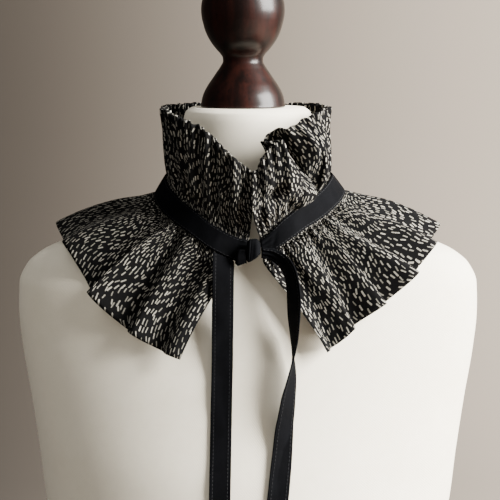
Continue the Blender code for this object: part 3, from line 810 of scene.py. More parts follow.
class Groups:
    """The shader node groups that more than one finish uses, each built once."""

    SHEARS = (
        Shear(0, 0.55, 95.0, 0.4),
        Shear(1, 0.50, 71.0, 1.9),
        Shear(0, 0.45, 118.0, 2.7),
        Shear(1, 0.42, 43.0, 0.8),
        Shear(0, 0.35, 61.0, 4.4),
    )
    FINE_RATE = 14.0
    DASH_SIZES = (("Spacing", 0.0024), ("Row", 0.0052), ("Half Length", 0.00120), ("Half Width", 0.00039))
    DASH_STAGGER = 0.5
    DASH_SCATTER = 0.55
    DASH_TURN = 0.34
    DASH_LONGEST = 0.30
    DASH_LENGTHS = (0.72, 1.18)
    DASH_WIDTHS = (0.78, 1.14)
    RAGGED_SCALE = 1500.0
    RAGGED_DEPTH = 0.0005
    SOFT_EDGE = 0.00010

    @staticmethod
    def start(name: str, inputs: Sequence[tuple[str, float]], outputs: Sequence[str]) -> GroupParts:
        """Begin a group that reads a vector and numbers, and puts out numbers.

        Args:
            name: The group's name.
            inputs: Name and first value of each number that it reads.
            outputs: Names of the outputs.

        Returns:
            The group's parts.
        """
        tree = bpy.data.node_groups.new(name, "ShaderNodeTree")
        tree.interface.new_socket(name="Vector", in_out="INPUT", socket_type="NodeSocketVector")
        for title, value in inputs:
            socket = tree.interface.new_socket(name=title, in_out="INPUT", socket_type="NodeSocketFloat")
            socket.default_value = value
        for title in outputs:
            tree.interface.new_socket(name=title, in_out="OUTPUT", socket_type="NodeSocketFloat")
        helper = NodeTree(tree)
        return GroupParts(tree, helper, helper.add("NodeGroupInput"), helper.add("NodeGroupOutput"))

    @staticmethod
    def get(name: str) -> bpy.types.NodeTree:
        """Find a group, building it at its first use."""
        found = bpy.data.node_groups.get(name)
        return found if found else getattr(Groups, f"build_{name}")()

    @staticmethod
    def build_woven_threads() -> bpy.types.NodeTree:
        """Plain weave: threads that pass over and under each other, at a pitch in metres."""
        tree, n, source, sink = Groups.start("woven_threads", [("Pitch", 0.0004)], ["Height", "Gap"])
        scaled = n.vector("SCALE", source.outputs["Vector"])
        n.join(n.math("DIVIDE", math.pi, source.outputs["Pitch"]), scaled.node.inputs["Scale"])
        parts = n.add("ShaderNodeSeparateXYZ")
        n.join(scaled, parts.inputs[0])
        across = n.math("SINE", parts.outputs[0])
        along = n.math("SINE", parts.outputs[1])
        over = n.math("MULTIPLY", across, along)
        n.join(n.math("MULTIPLY_ADD", over, 0.5, 0.5), sink.inputs["Height"])
        thin = n.math("MULTIPLY", n.math("ABSOLUTE", across), n.math("ABSOLUTE", along))
        n.join(n.math("SUBTRACT", 1.0, thin), sink.inputs["Gap"])
        return tree

    @staticmethod
    def build_uneven_tone() -> bpy.types.NodeTree:
        """Soft patches of light and dark, 0.5 on average."""
        tree, n, source, sink = Groups.start("uneven_tone", [("Scale", 30.0)], ["Tone", "Fine"])
        coarse = n.noise(source.outputs["Vector"], 1.0, 3.0, 0.55)
        n.join(source.outputs["Scale"], coarse.inputs["Scale"])
        fine = n.noise(source.outputs["Vector"], 1.0, 4.0, 0.6)
        n.join(n.math("MULTIPLY", source.outputs["Scale"], Groups.FINE_RATE), fine.inputs["Scale"])
        n.join(coarse.outputs[0], sink.inputs["Tone"])
        n.join(fine.outputs[0], sink.inputs["Fine"])
        return tree

    @staticmethod
    def build_scattered_dashes() -> bpy.types.NodeTree:
        """Short brush dashes in loose flowing rows, on a map in metres.

        The map is bent by shears that keep areas, so that the rows swirl. The way from a dash's
        middle is bent back by the same shears, so that each dash keeps its size.

        Returns:
            The group.
        """
        tree, n, source, sink = Groups.start("scattered_dashes", Groups.DASH_SIZES, ["Dash", "Tint"])
        parts = n.add("ShaderNodeSeparateXYZ")
        n.join(source.outputs["Vector"], parts.inputs[0])
        place = [parts.outputs[0], parts.outputs[1]]
        slopes = []
        for shear in Groups.SHEARS:
            moved = shear.moved
            angle = n.math("MULTIPLY_ADD", place[1 - moved], shear.rate, shear.phase)
            wave = n.math("SINE", angle)
            place[moved] = n.math("MULTIPLY_ADD", wave, shear.slope / shear.rate, place[moved])
            slopes.append((moved, n.math("MULTIPLY", n.math("COSINE", angle), shear.slope)))
        column = n.math("DIVIDE", place[0], source.outputs["Spacing"])
        step = n.math("DIVIDE", place[1], source.outputs["Row"])
        cells = n.add("ShaderNodeCombineXYZ")
        n.feed(cells, (column, n.math("MULTIPLY_ADD", column, Groups.DASH_STAGGER, step)))
        scatter = n.add("ShaderNodeTexVoronoi", voronoi_dimensions="2D", feature="F1")
        n.join(cells.outputs[0], scatter.inputs["Vector"])
        scatter.inputs["Scale"].default_value = 1.0
        scatter.inputs["Randomness"].default_value = Groups.DASH_SCATTER
        offset = n.add("ShaderNodeSeparateXYZ")
        n.join(n.vector("SUBTRACT", cells.outputs[0], scatter.outputs["Position"]), offset.inputs[0])
        level = n.math("MULTIPLY_ADD", offset.outputs[0], -Groups.DASH_STAGGER, offset.outputs[1])
        away = [n.math("MULTIPLY", offset.outputs[0], source.outputs["Spacing"]),
                n.math("MULTIPLY", level, source.outputs["Row"])]
        ahead = [0.0, source.outputs["Row"]]
        for moved, slope in reversed(slopes):
            for vector in (away, ahead):
                shift = n.math("MULTIPLY", slope, vector[1 - moved])
                vector[moved] = n.math("SUBTRACT", vector[moved], shift)
        reach = n.length(*ahead)
        right, up = (n.math("DIVIDE", part, reach) for part in ahead)
        plain_run = n.math("ADD", n.math("MULTIPLY", away[0], right), n.math("MULTIPLY", away[1], up))
        plain_side = n.math("SUBTRACT", n.math("MULTIPLY", away[0], up), n.math("MULTIPLY", away[1], right))
        tint = n.add("ShaderNodeSeparateColor")
        n.join(scatter.outputs["Color"], tint.inputs[0])
        turn = n.range(tint.outputs[0], 0.0, 1.0, -Groups.DASH_TURN, Groups.DASH_TURN, False)
        run = n.math("ADD", plain_run, n.math("MULTIPLY", turn, plain_side))
        side = n.math("SUBTRACT", plain_side, n.math("MULTIPLY", turn, plain_run))
        own_length = n.range(tint.outputs[1], 0.0, 1.0, *Groups.DASH_LENGTHS, False)
        half = n.math("MINIMUM", n.math("MULTIPLY", reach, Groups.DASH_LONGEST),
                      n.math("MULTIPLY", source.outputs["Half Length"], own_length))
        past_end = n.math("MAXIMUM", n.math("SUBTRACT", n.math("ABSOLUTE", run), half), 0.0)
        ragged = n.noise(source.outputs["Vector"], Groups.RAGGED_SCALE, 2.0, 0.6)
        rag = n.math("SUBTRACT", ragged.outputs[0], 0.5)
        edge = n.math("MULTIPLY_ADD", rag, Groups.RAGGED_DEPTH, n.length(side, past_end))
        own_width = n.range(tint.outputs[2], 0.0, 1.0, *Groups.DASH_WIDTHS, False)
        width = n.math("MULTIPLY", source.outputs["Half Width"], own_width)
        inside = n.math("SUBTRACT", width, Groups.SOFT_EDGE)
        outside = n.math("ADD", width, Groups.SOFT_EDGE)
        n.join(n.range(edge, inside, outside, 1.0, 0.0), sink.inputs["Dash"])
        n.join(tint.outputs[2], sink.inputs["Tint"])
        return tree


@dataclass(frozen=True)
class Finish:
    """A material with its gloss and its relief; each finish adds its own pattern."""

    name: str = "finish"
    slot: str = "black_tape"
    roughness: Spread = Spread(0.3, 0.7, 0.5, 0.7)
    specular: float = 0.1
    sheen: float = 0.0
    sheen_roughness: float = 0.5
    relief: float = 0.3
    relief_height: float = 0.0001

    def start(self) -> tuple[bpy.types.Material, NodeTree, bpy.types.Node]:
        """Make the material with its Principled shader."""
        material = bpy.data.materials.new(self.name)
        material.use_nodes = True
        return material, NodeTree(material.node_tree), material.node_tree.nodes["Principled BSDF"]

    @staticmethod
    def group(n: NodeTree, name: str, vector: bpy.types.NodeSocket, **values: float) -> bpy.types.Node:
        """Place a shared node group with its own values."""
        node = n.add("ShaderNodeGroup", node_tree=Groups.get(name))
        n.join(vector, node.inputs["Vector"])
        for key, value in values.items():
            node.inputs[key].default_value = value
        return node

    def end(self, n: NodeTree, shader: bpy.types.Node, colour: bpy.types.NodeSocket,
            pattern: bpy.types.NodeSocket, height: bpy.types.NodeSocket) -> None:
        """Feed the shader.

        Args:
            n: The material's nodes.
            shader: Its Principled shader.
            colour: The base colour.
            pattern: The values from which the roughness is read.
            height: The relief's heights.
        """
        n.join(colour, shader.inputs["Base Color"])
        n.join(n.spread(pattern, self.roughness, False), shader.inputs["Roughness"])
        shader.inputs["Specular IOR Level"].default_value = self.specular
        shader.inputs["Sheen Weight"].default_value = self.sheen
        shader.inputs["Sheen Roughness"].default_value = self.sheen_roughness
        bump = n.add("ShaderNodeBump")
        bump.inputs["Strength"].default_value = self.relief
        bump.inputs["Distance"].default_value = self.relief_height
        n.join(height, bump.inputs["Height"])
        n.join(bump.outputs[0], shader.inputs["Normal"])


@dataclass(frozen=True)
class PrintedCotton(Finish):
    """Thin black cotton printed with small cream dashes."""

    name: str = "printed_cotton_finish"
    slot: str = "printed_cotton"
    roughness: Spread = Spread(0.0, 1.0, 0.86, 0.70)
    specular: float = 0.04
    sheen: float = 0.02
    sheen_roughness: float = 0.45
    relief: float = 0.5
    relief_height: float = 0.00012
    ground: Colour = (0.0022, 0.0022, 0.0024, 1.0)
    worn_ground: Colour = (0.0058, 0.0056, 0.0056, 1.0)
    cream: Colour = (0.365, 0.343, 0.294, 1.0)
    dull_cream: Colour = (0.175, 0.166, 0.142, 1.0)
    pitch: float = 0.00042
    patch_scale: float = 40.0
    thread_shade: float = 0.35
    cover: Spread = Spread(0.25, 0.5, 0.72, 1.0)
    paint_height: float = 0.25

    def build(self) -> bpy.types.Material:
        """Build the material."""
        material, n, shader = self.start()
        cloth = n.add("ShaderNodeUVMap", uv_map=Scene.MAP).outputs[0]
        dashes = self.group(n, "scattered_dashes", cloth)
        weave = self.group(n, "woven_threads", cloth, Pitch=self.pitch)
        tone = self.group(n, "uneven_tone", cloth, Scale=self.patch_scale)
        ground = n.mix_colour(tone.outputs["Tone"], self.ground, self.worn_ground)
        paint = n.mix_colour(dashes.outputs["Tint"], self.dull_cream, self.cream)
        shade = n.math("MULTIPLY_ADD", weave.outputs["Gap"], -self.thread_shade, 1.0)
        cover = n.math("MULTIPLY", dashes.outputs["Dash"], n.spread(tone.outputs["Fine"], self.cover))
        colour = n.mix_colour(n.math("MULTIPLY", cover, shade), ground, paint)
        height = n.math("MULTIPLY_ADD", dashes.outputs["Dash"], self.paint_height, weave.outputs["Height"])
        self.end(n, shader, colour, dashes.outputs["Dash"], height)
        return material


@dataclass(frozen=True)
class BlackTape(Finish):
    """Matt black cotton tape with a fine twill."""

    name: str = "black_tape_finish"
    slot: str = "black_tape"
    roughness: Spread = Spread(0.2, 0.8, 0.72, 0.92)
    specular: float = 0.03
    relief: float = 0.6
    relief_height: float = 0.00014
    colour: Colour = (0.0016, 0.0017, 0.0021, 1.0)
    lint: Colour = (0.0038, 0.0040, 0.0051, 1.0)
    lint_patches: Spread = Spread(0.3, 0.7, 0.15, 1.0)
    twill_angle: float = 38.0
    pitch: float = 0.00036
    patch_scale: float = 55.0
    uses_map: bool = True

    def build(self) -> bpy.types.Material:
        """Build the material."""
        material, n, shader = self.start()
        if self.uses_map:
            place = n.add("ShaderNodeUVMap", uv_map=Scene.MAP).outputs[0]
        else:
            place = n.add("ShaderNodeTexCoord").outputs["Object"]
        turned = n.add("ShaderNodeMapping")
        turned.inputs["Rotation"].default_value = (0.0, 0.0, math.radians(self.twill_angle))
        n.join(place, turned.inputs["Vector"])
        weave = self.group(n, "woven_threads", turned.outputs[0], Pitch=self.pitch)
        tone = self.group(n, "uneven_tone", place, Scale=self.patch_scale)
        lint = n.math("MULTIPLY", n.spread(tone.outputs["Tone"], self.lint_patches),
                      n.math("SUBTRACT", 1.0, weave.outputs["Gap"]))
        colour = n.mix_colour(lint, self.colour, self.lint)
        self.end(n, shader, colour, tone.outputs["Fine"], weave.outputs["Height"])
        return material


@dataclass(frozen=True)
class SewingThread(Finish):
    """Black sewing thread, a little glossier than the tape."""

    name: str = "sewing_thread_finish"
    slot: str = "black_tape"
    roughness: Spread = Spread(0.3, 0.7, 0.55, 0.75)
    specular: float = 0.25
    colour: Colour = (0.0060, 0.0060, 0.0070, 1.0)
    shine: Colour = (0.0160, 0.0160, 0.0180, 1.0)
    patch_scale: float = 400.0

    def build(self) -> bpy.types.Material:
        """Build the material."""
        material, n, shader = self.start()
        place = n.add("ShaderNodeTexCoord").outputs["Object"]
        tone = self.group(n, "uneven_tone", place, Scale=self.patch_scale)
        colour = n.mix_colour(tone.outputs["Fine"], self.colour, self.shine)
        self.end(n, shader, colour, tone.outputs["Tone"], tone.outputs["Fine"])
        return material


@dataclass(frozen=True)
class IvoryJersey(Finish):
    """Fine ivory knit stretched smooth over the form, with painted shade in the gaps between its wales."""

    name: str = "ivory_jersey_finish"
    slot: str = "ivory_jersey"
    roughness: Spread = Spread(0.3, 0.7, 0.82, 0.95)
    specular: float = 0.3
    sheen: float = 0.12
    relief: float = 0.35
    relief_height: float = 0.00025
    light: Colour = (0.87, 0.805, 0.665, 1.0)
    dull: Colour = (0.80, 0.732, 0.590, 1.0)
    # painted shade: the colour painted into the gaps between the knit's wales
    shade_between_wales: Colour = (0.60, 0.56, 0.49, 1.0)
    gap_shade: float = 0.07
    wale: float = 0.0011
    patch_scale: float = 9.0
    fine_share: float = 0.3
    patches: Spread = Spread(0.32, 0.66, 0.0, 1.0)

    def build(self) -> bpy.types.Material:
        """Build the material."""
        material, n, shader = self.start()
        cloth = n.add("ShaderNodeUVMap", uv_map=Scene.MAP).outputs[0]
        knit = self.group(n, "woven_threads", cloth, Pitch=self.wale)
        place = n.add("ShaderNodeTexCoord").outputs["Object"]
        tone = self.group(n, "uneven_tone", place, Scale=self.patch_scale)
        coarse = n.math("MULTIPLY", tone.outputs["Tone"], 1.0 - self.fine_share)
        shade = n.math("MULTIPLY_ADD", tone.outputs["Fine"], self.fine_share, coarse)
        knitted = n.mix_colour(n.spread(shade, self.patches), self.dull, self.light)
        # painted shade: the knit is painted a little darker in the gaps between its wales
        face = n.range(knit.outputs["Gap"], 0.0, 1.0, 1.0, 1.0 - self.gap_shade, False)
        colour = n.mix_colour(face, self.shade_between_wales, knitted)
        self.end(n, shader, colour, tone.outputs["Fine"], knit.outputs["Height"])
        return material


@dataclass(frozen=True)
class TurnedWood(Finish):
    """Dark red-brown turned wood under gloss varnish."""

    name: str = "turned_wood_finish"
    slot: str = "turned_wood"
    roughness: Spread = Spread(0.3, 0.7, 0.38, 0.50)
    specular: float = 0.10
    relief: float = 0.12
    relief_height: float = 0.0006
    dark: Colour = (0.0034, 0.0013, 0.0010, 1.0)
    red: Colour = (0.0165, 0.0040, 0.0026, 1.0)
    pore: Colour = (0.0018, 0.0009, 0.0007, 1.0)
    grain_stretch: Place = (1.0, 1.0, 0.16)
    grain_scale: float = 70.0
    grain_bands: Spread = Spread(0.38, 0.66, 0.0, 1.0)
    pore_scale: float = 420.0
    pore_spots: Spread = Spread(0.60, 0.72, 0.0, 0.7)
    patch_scale: float = 60.0
    varnish: float = 0.27
    varnish_roughness: float = 0.22

    def build(self) -> bpy.types.Material:
        """Build the material."""
        material, n, shader = self.start()
        place = n.add("ShaderNodeTexCoord").outputs["Object"]
        stretched = n.add("ShaderNodeMapping")
        stretched.inputs["Scale"].default_value = self.grain_stretch
        n.join(place, stretched.inputs["Vector"])
        grain = n.noise(stretched.outputs[0], self.grain_scale, 6.0, 0.62)
        streak = n.noise(stretched.outputs[0], self.pore_scale, 3.0, 0.6)
        wood = n.mix_colour(n.spread(grain.outputs[0], self.grain_bands), self.dark, self.red)
        colour = n.mix_colour(n.spread(streak.outputs[0], self.pore_spots), wood, self.pore)
        tone = self.group(n, "uneven_tone", place, Scale=self.patch_scale)
        shader.inputs["Coat Weight"].default_value = self.varnish
        shader.inputs["Coat Roughness"].default_value = self.varnish_roughness
        self.end(n, shader, colour, tone.outputs["Fine"], tone.outputs["Tone"])
        return material


@dataclass
class DressForm:
    """The limbless dress form: its jersey-covered body and its turned finial."""

    segments: int = 168
    rings: int = 190
    ring_samples: int = 2000
    map_radius: float = 0.14
    sharp_angle: float = 50.0
    neck_top: float = 0.680
    seat_gap: float = 0.0003
    finial_across: float = -0.004
    finial_steps: int = 112
    foot_heights: tuple[float, ...] = (0.0, 0.0003, 0.0008, 0.0013, 0.0018)
    waist_start: float = 0.0024
    waist_steps: int = 64
    ball_height: float = 0.0760
    ball_radius: float = 0.0332
    ball_steps: int = 36
    weld_distance: float = 0.00001

    def build(self, jersey: bpy.types.Material, wood: bpy.types.Material) -> BVHTree:
        """Build both pieces.

        Args:
            jersey: The body's finish.
            wood: The finial's finish.

        Returns:
            The body's surface, for the cloth to lie on.
        """
        body = self.build_body(jersey)
        self.build_finial(wood)
        return BVHTree.FromObject(body, bpy.context.evaluated_depsgraph_get())

    def ring_heights(self) -> np.ndarray:
        """Heights of the rings, as close together as the sections ask."""
        places = np.array([row.height for row in FORM_SECTIONS])
        fine = np.linspace(places[0], places[-1], self.ring_samples)
        density = np.interp(fine, places, [row.density for row in FORM_SECTIONS])
        total = np.concatenate(([0.0], np.cumsum((density[1:] + density[:-1]) / 2)))
        return np.interp(np.linspace(0, total[-1], self.rings), total, fine)

    def build_body(self, jersey: bpy.types.Material) -> bpy.types.Object:
        """Make the body: a sphere's rings moved onto the level sections."""
        heights = self.ring_heights()
        half_width, front, back = (
            Column(FORM_SECTIONS, name).at(heights) for name in ("half_width", "front", "back"))
        last = len(heights) + 1
        bm = bmesh.new()
        bmesh.ops.create_uvsphere(bm, u_segments=self.segments, v_segments=last, radius=1.0)
        cloth_map = bm.loops.layers.uv.new(Scene.MAP)
        for vert in bm.verts:
            ring = round((1 - math.acos(max(-1.0, min(1.0, vert.co.z))) / math.pi) * last)
            i = min(max(ring - 1, 0), last - 2)
            across = Vector((vert.co.x, vert.co.y, 0.0))
            across = across.normalized() if 0 < ring < last else Vector()
            reach = front[i] if across.y < 0 else back[i]
            vert.co = (across.x * half_width[i], across.y * reach, heights[i])
        for face in bm.faces:
            self.map_face(face, cloth_map)
        piece = Scene.link("jersey_body", bm, jersey, self.sharp_angle)
        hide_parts("form_body")
        return piece

    def map_face(self, face: bmesh.types.BMFace, cloth_map: bmesh.types.BMLayerItem) -> None:
        """Map a face of the body by its turn and height, with no jump at the back."""
        middle = face.calc_center_median()
        base = math.atan2(middle.x, -middle.y)
        for loop in face.loops:
            at = loop.vert.co
            on_axis = at.x * at.x + at.y * at.y <= NEARLY_ZERO
            turn = base if on_axis else math.atan2(at.x, -at.y)
            turn += 2 * math.pi * round((base - turn) / (2 * math.pi))
            loop[cloth_map].uv = (turn * self.map_radius, at.z)

    def finial_profile(self) -> list[tuple[float, float]]:
        """Half outline of the finial, from its foot's centre up to the ball's top."""
        foot = self.neck_top + self.seat_gap
        waist_end = FINIAL_OUTLINE[-1].height
        heights = (*self.foot_heights, *np.linspace(self.waist_start, waist_end, self.waist_steps))
        radii = Column(FINIAL_OUTLINE, "radius").at(np.array(heights))
        points = [(0.0, foot)] + [(float(r), foot + float(h)) for r, h in zip(radii, heights)]
        lowest = math.asin((waist_end - self.ball_height) / self.ball_radius)
        for i in range(1, self.ball_steps + 1):
            angle = lowest + (math.pi / 2 - lowest) * i / self.ball_steps
            reach = self.ball_radius * math.cos(angle) if i < self.ball_steps else 0.0
            points.append((reach, foot + self.ball_height + self.ball_radius * math.sin(angle)))
        return points

    def build_finial(self, wood: bpy.types.Material) -> bpy.types.Object:
        """Make the finial by spinning its half outline."""
        bm = bmesh.new()
        verts = [bm.verts.new((x, 0.0, z)) for x, z in self.finial_profile()]
        edges = [bm.edges.new(pair) for pair in zip(verts, verts[1:])]
        bmesh.ops.spin(bm, geom=verts + edges, cent=(0, 0, 0), axis=(0, 0, 1), angle=2 * math.pi,
                       steps=self.finial_steps, use_merge=True)
        bmesh.ops.remove_doubles(bm, verts=bm.verts[:], dist=self.weld_distance)
        bmesh.ops.recalc_face_normals(bm, faces=bm.faces[:])
        bmesh.ops.translate(bm, verts=bm.verts[:], vec=(self.finial_across, 0.0, 0.0))
        piece = Scene.link("turned_finial", bm, wood, self.sharp_angle)
        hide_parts("form_finial")
        return piece


@dataclass
class TapePath:
    """The tape's way round the neck."""

    width: float = 0.018

    def frame(self, turn: np.ndarray) -> tuple[np.ndarray, np.ndarray, np.ndarray]:
        """Read the tape's place at turns.

        Args:
            turn: Degrees round the neck.

        Returns:
            The centre points, the upward directions and the outward directions.
        """
        lean = Column(TAPE_PATH, "lean").at(turn)[..., None]
        centre = around(turn, Column(TAPE_PATH, "radius").at(turn), Column(TAPE_PATH, "height").at(turn))
        outward = around(turn, 1.0, 0.0)
        upright = np.sqrt(1 - lean * lean)
        return centre, UPWARD * upright - outward * lean, outward * upright + UPWARD * lean


@dataclass(frozen=True)
class Bumps:
    """Uneven bumps over a strip: how many lie along and across it, their pattern and their height."""

    along: float
    across: float
    seed: float
    height: float = 1.0

    def at(self, share: np.ndarray, v: np.ndarray) -> np.ndarray:
        """Read the bumps over a strip's grid.

        Args:
            share: Places along the strip, as a column.
            v: Places across the strip, as a row.

        Returns:
            The heights, one for each grid point.
        """
        return self.height * np.array([
            [noise.noise(Vector((float(s) * self.along, float(t) * self.across, self.seed))) for t in v[0]]
            for s in share[:, 0]])


@dataclass(frozen=True)
class Gathers:
    """Fine gathers along a strip: their number, depth and unevenness, and how soon they rise."""

    number: int
    depth: float
    stray: float
    drift: float
    drift_rate: float
    vary: float
    start: float

    def at(self, share: np.ndarray, uneven: np.ndarray, t: np.ndarray) -> np.ndarray:
        """Read the gathers over a strip's grid.

        Args:
            share: Shares along the strip, as a column.
            uneven: Uneven values from -1 to 1, one for each grid point.
            t: Shares of the way from the tape's edge to the outer edge, as a row.

        Returns:
            The heights, one for each grid point.
        """
        drift = self.drift * np.sin(self.drift_rate * share)
        wave = np.sin(2 * np.pi * self.number * share + self.stray * uneven + drift)
        return self.depth * wave * ramp(t, 0.0, self.start) * (1.0 + self.vary * uneven)


@dataclass(frozen=True)
class Selvedge:
    """A tape's edge: its rounding, and the furrow that the stitches press beside it."""

    rise: float
    furrow: float
    inset: float
    rounding: float = 0.0006
    furrow_half_width: float = 0.0008

    def lift(self, v: np.ndarray, width: float) -> np.ndarray:
        """How far the tape's face stands out at shares of its width."""
        from_edge = np.minimum(v, 1 - v) * width
        pressed = bell(from_edge - self.inset, self.furrow_half_width)
        return self.rise * ramp(from_edge, 0.0, self.rounding) - self.furrow * pressed


@dataclass
class GatheredCloth:
    """What the frill and the ruffle share: their seam behind the tape, their relief and their hem."""

    path: TapePath
    name: str = "cloth"
    node: str = "cloth"
    rests_on: str = "neck_band"
    flip: bool = False
    columns: int = 900
    rows: int = 40
    tape_share: float = 0.2
    seam_turns: tuple[float, float] = (0.0, 360.0)
    flat_width: float = 0.08
    crease_length: float = 0.5
    hem_starts: tuple[float, float] = (0.93, 0.95)
    fold_growth: float = 1.0
    uneven: Bumps = Bumps(60.0, 2.0, 0.0)
    gathers: Gathers = Gathers(110, 0.001, 2.0, 2.0, 20.0, 0.8, 0.08)
    puffs: Bumps = Bumps(30.0, 2.0, 0.0, 0.001)
    puff_starts: tuple[float, float] = (0.0, 0.3)
    seam_gap: float = 0.0005
    edge_gaps: float = 1.5
    cad_wall: float = 0.0011
    tape_wall: float = 0.0012
    thickness: float = 0.00045
    hem_thickness: float = 0.00110
    form_gap: float = 0.0006
    run_window: int = 15

    @property
    def tape_edge(self) -> float:
        """How far from the centre line the cloth comes out from behind the tape."""
        return self.path.width / 2 + self.seam_gap * self.edge_gaps

    def behind_tape(self, turn: np.ndarray, above: np.ndarray) -> np.ndarray:
        """Points of the cloth behind the tape, some way above its centre line."""
        centre, up, out = self.path.frame(turn)
        return centre + up * above - out * (self.seam_gap + (self.cad_wall + self.tape_wall) / 2)

    def from_line(self, v: np.ndarray) -> np.ndarray:
        """Distances from the tape's centre line, up to the tape's edge."""
        low = self.seam_gap / 2
        return low + (self.tape_edge - low) * np.minimum(v / self.tape_share, 1.0)

    def past_tape(self, v: np.ndarray) -> np.ndarray:
        """Shares of the way from the tape's edge to the cloth's outer edge."""
        return np.clip((v - self.tape_share) / (1 - self.tape_share), 0.0, 1.0)

    def relief(self, share: np.ndarray, v: np.ndarray, fade: np.ndarray) -> np.ndarray:
        """How far the fine gathers, soft puffs and creases stand out.

        Args:
            share: Shares along the strip, as a column.
            v: Shares across the strip, as a row.
            fade: The strength of the gathers at each row.

        Returns:
            The heights, one for each grid point.
        """
        t = self.past_tape(v)
        out = self.gathers.at(share, self.uneven.at(share, v), t) * fade
        return out + self.puffs.at(share, v) * ramp(t, *self.puff_starts)

    def flat_run(self, points: np.ndarray) -> np.ndarray:
        """The cloth's length up to each column, as the mean of its outer rows.

        Args:
            points: The cloth's grid of points.

        Returns:
            The lengths, from 0 at the first column.
        """
        outer = points[:, points.shape[1] // 2:]
        steps = np.linalg.norm(np.diff(outer, axis=0), axis=2).mean(axis=1)
        padded = np.pad(steps, self.run_window // 2, mode="edge")
        even = np.convolve(padded, np.ones(self.run_window) / self.run_window, mode="valid")
        return np.concatenate(([0.0], np.cumsum(even)))

    def surface(self, share: np.ndarray, v: np.ndarray) -> np.ndarray:
        """The cloth's points, which each piece works out in its own way."""
        raise NotImplementedError

    def build(self, cotton: bpy.types.Material, form: BVHTree) -> bpy.types.Object:
        """Build the piece.

        Args:
            cotton: Its finish.
            form: The form's surface, which it stays clear of.

        Returns:
            The object.
        """
        share, v = grid_shares(self.columns, self.rows)
        points = keep_off(self.surface(share, v), form, self.form_gap + self.cad_wall / 2)
        hem = ramp(v, *self.hem_starts) * np.ones_like(share)
        run = self.flat_run(points)
        flat = (round(float(run[-1]), 3), self.flat_width)
        piece = Scene.cloth(self.name, points, flat, cotton, self.thickness, flip=self.flip,
                            hem=hem, hem_thickness=self.hem_thickness, run=run)
        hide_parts(self.node)
        log.info("%s: %.3f x %.3f m of flat cloth", self.name, *flat)
        return piece


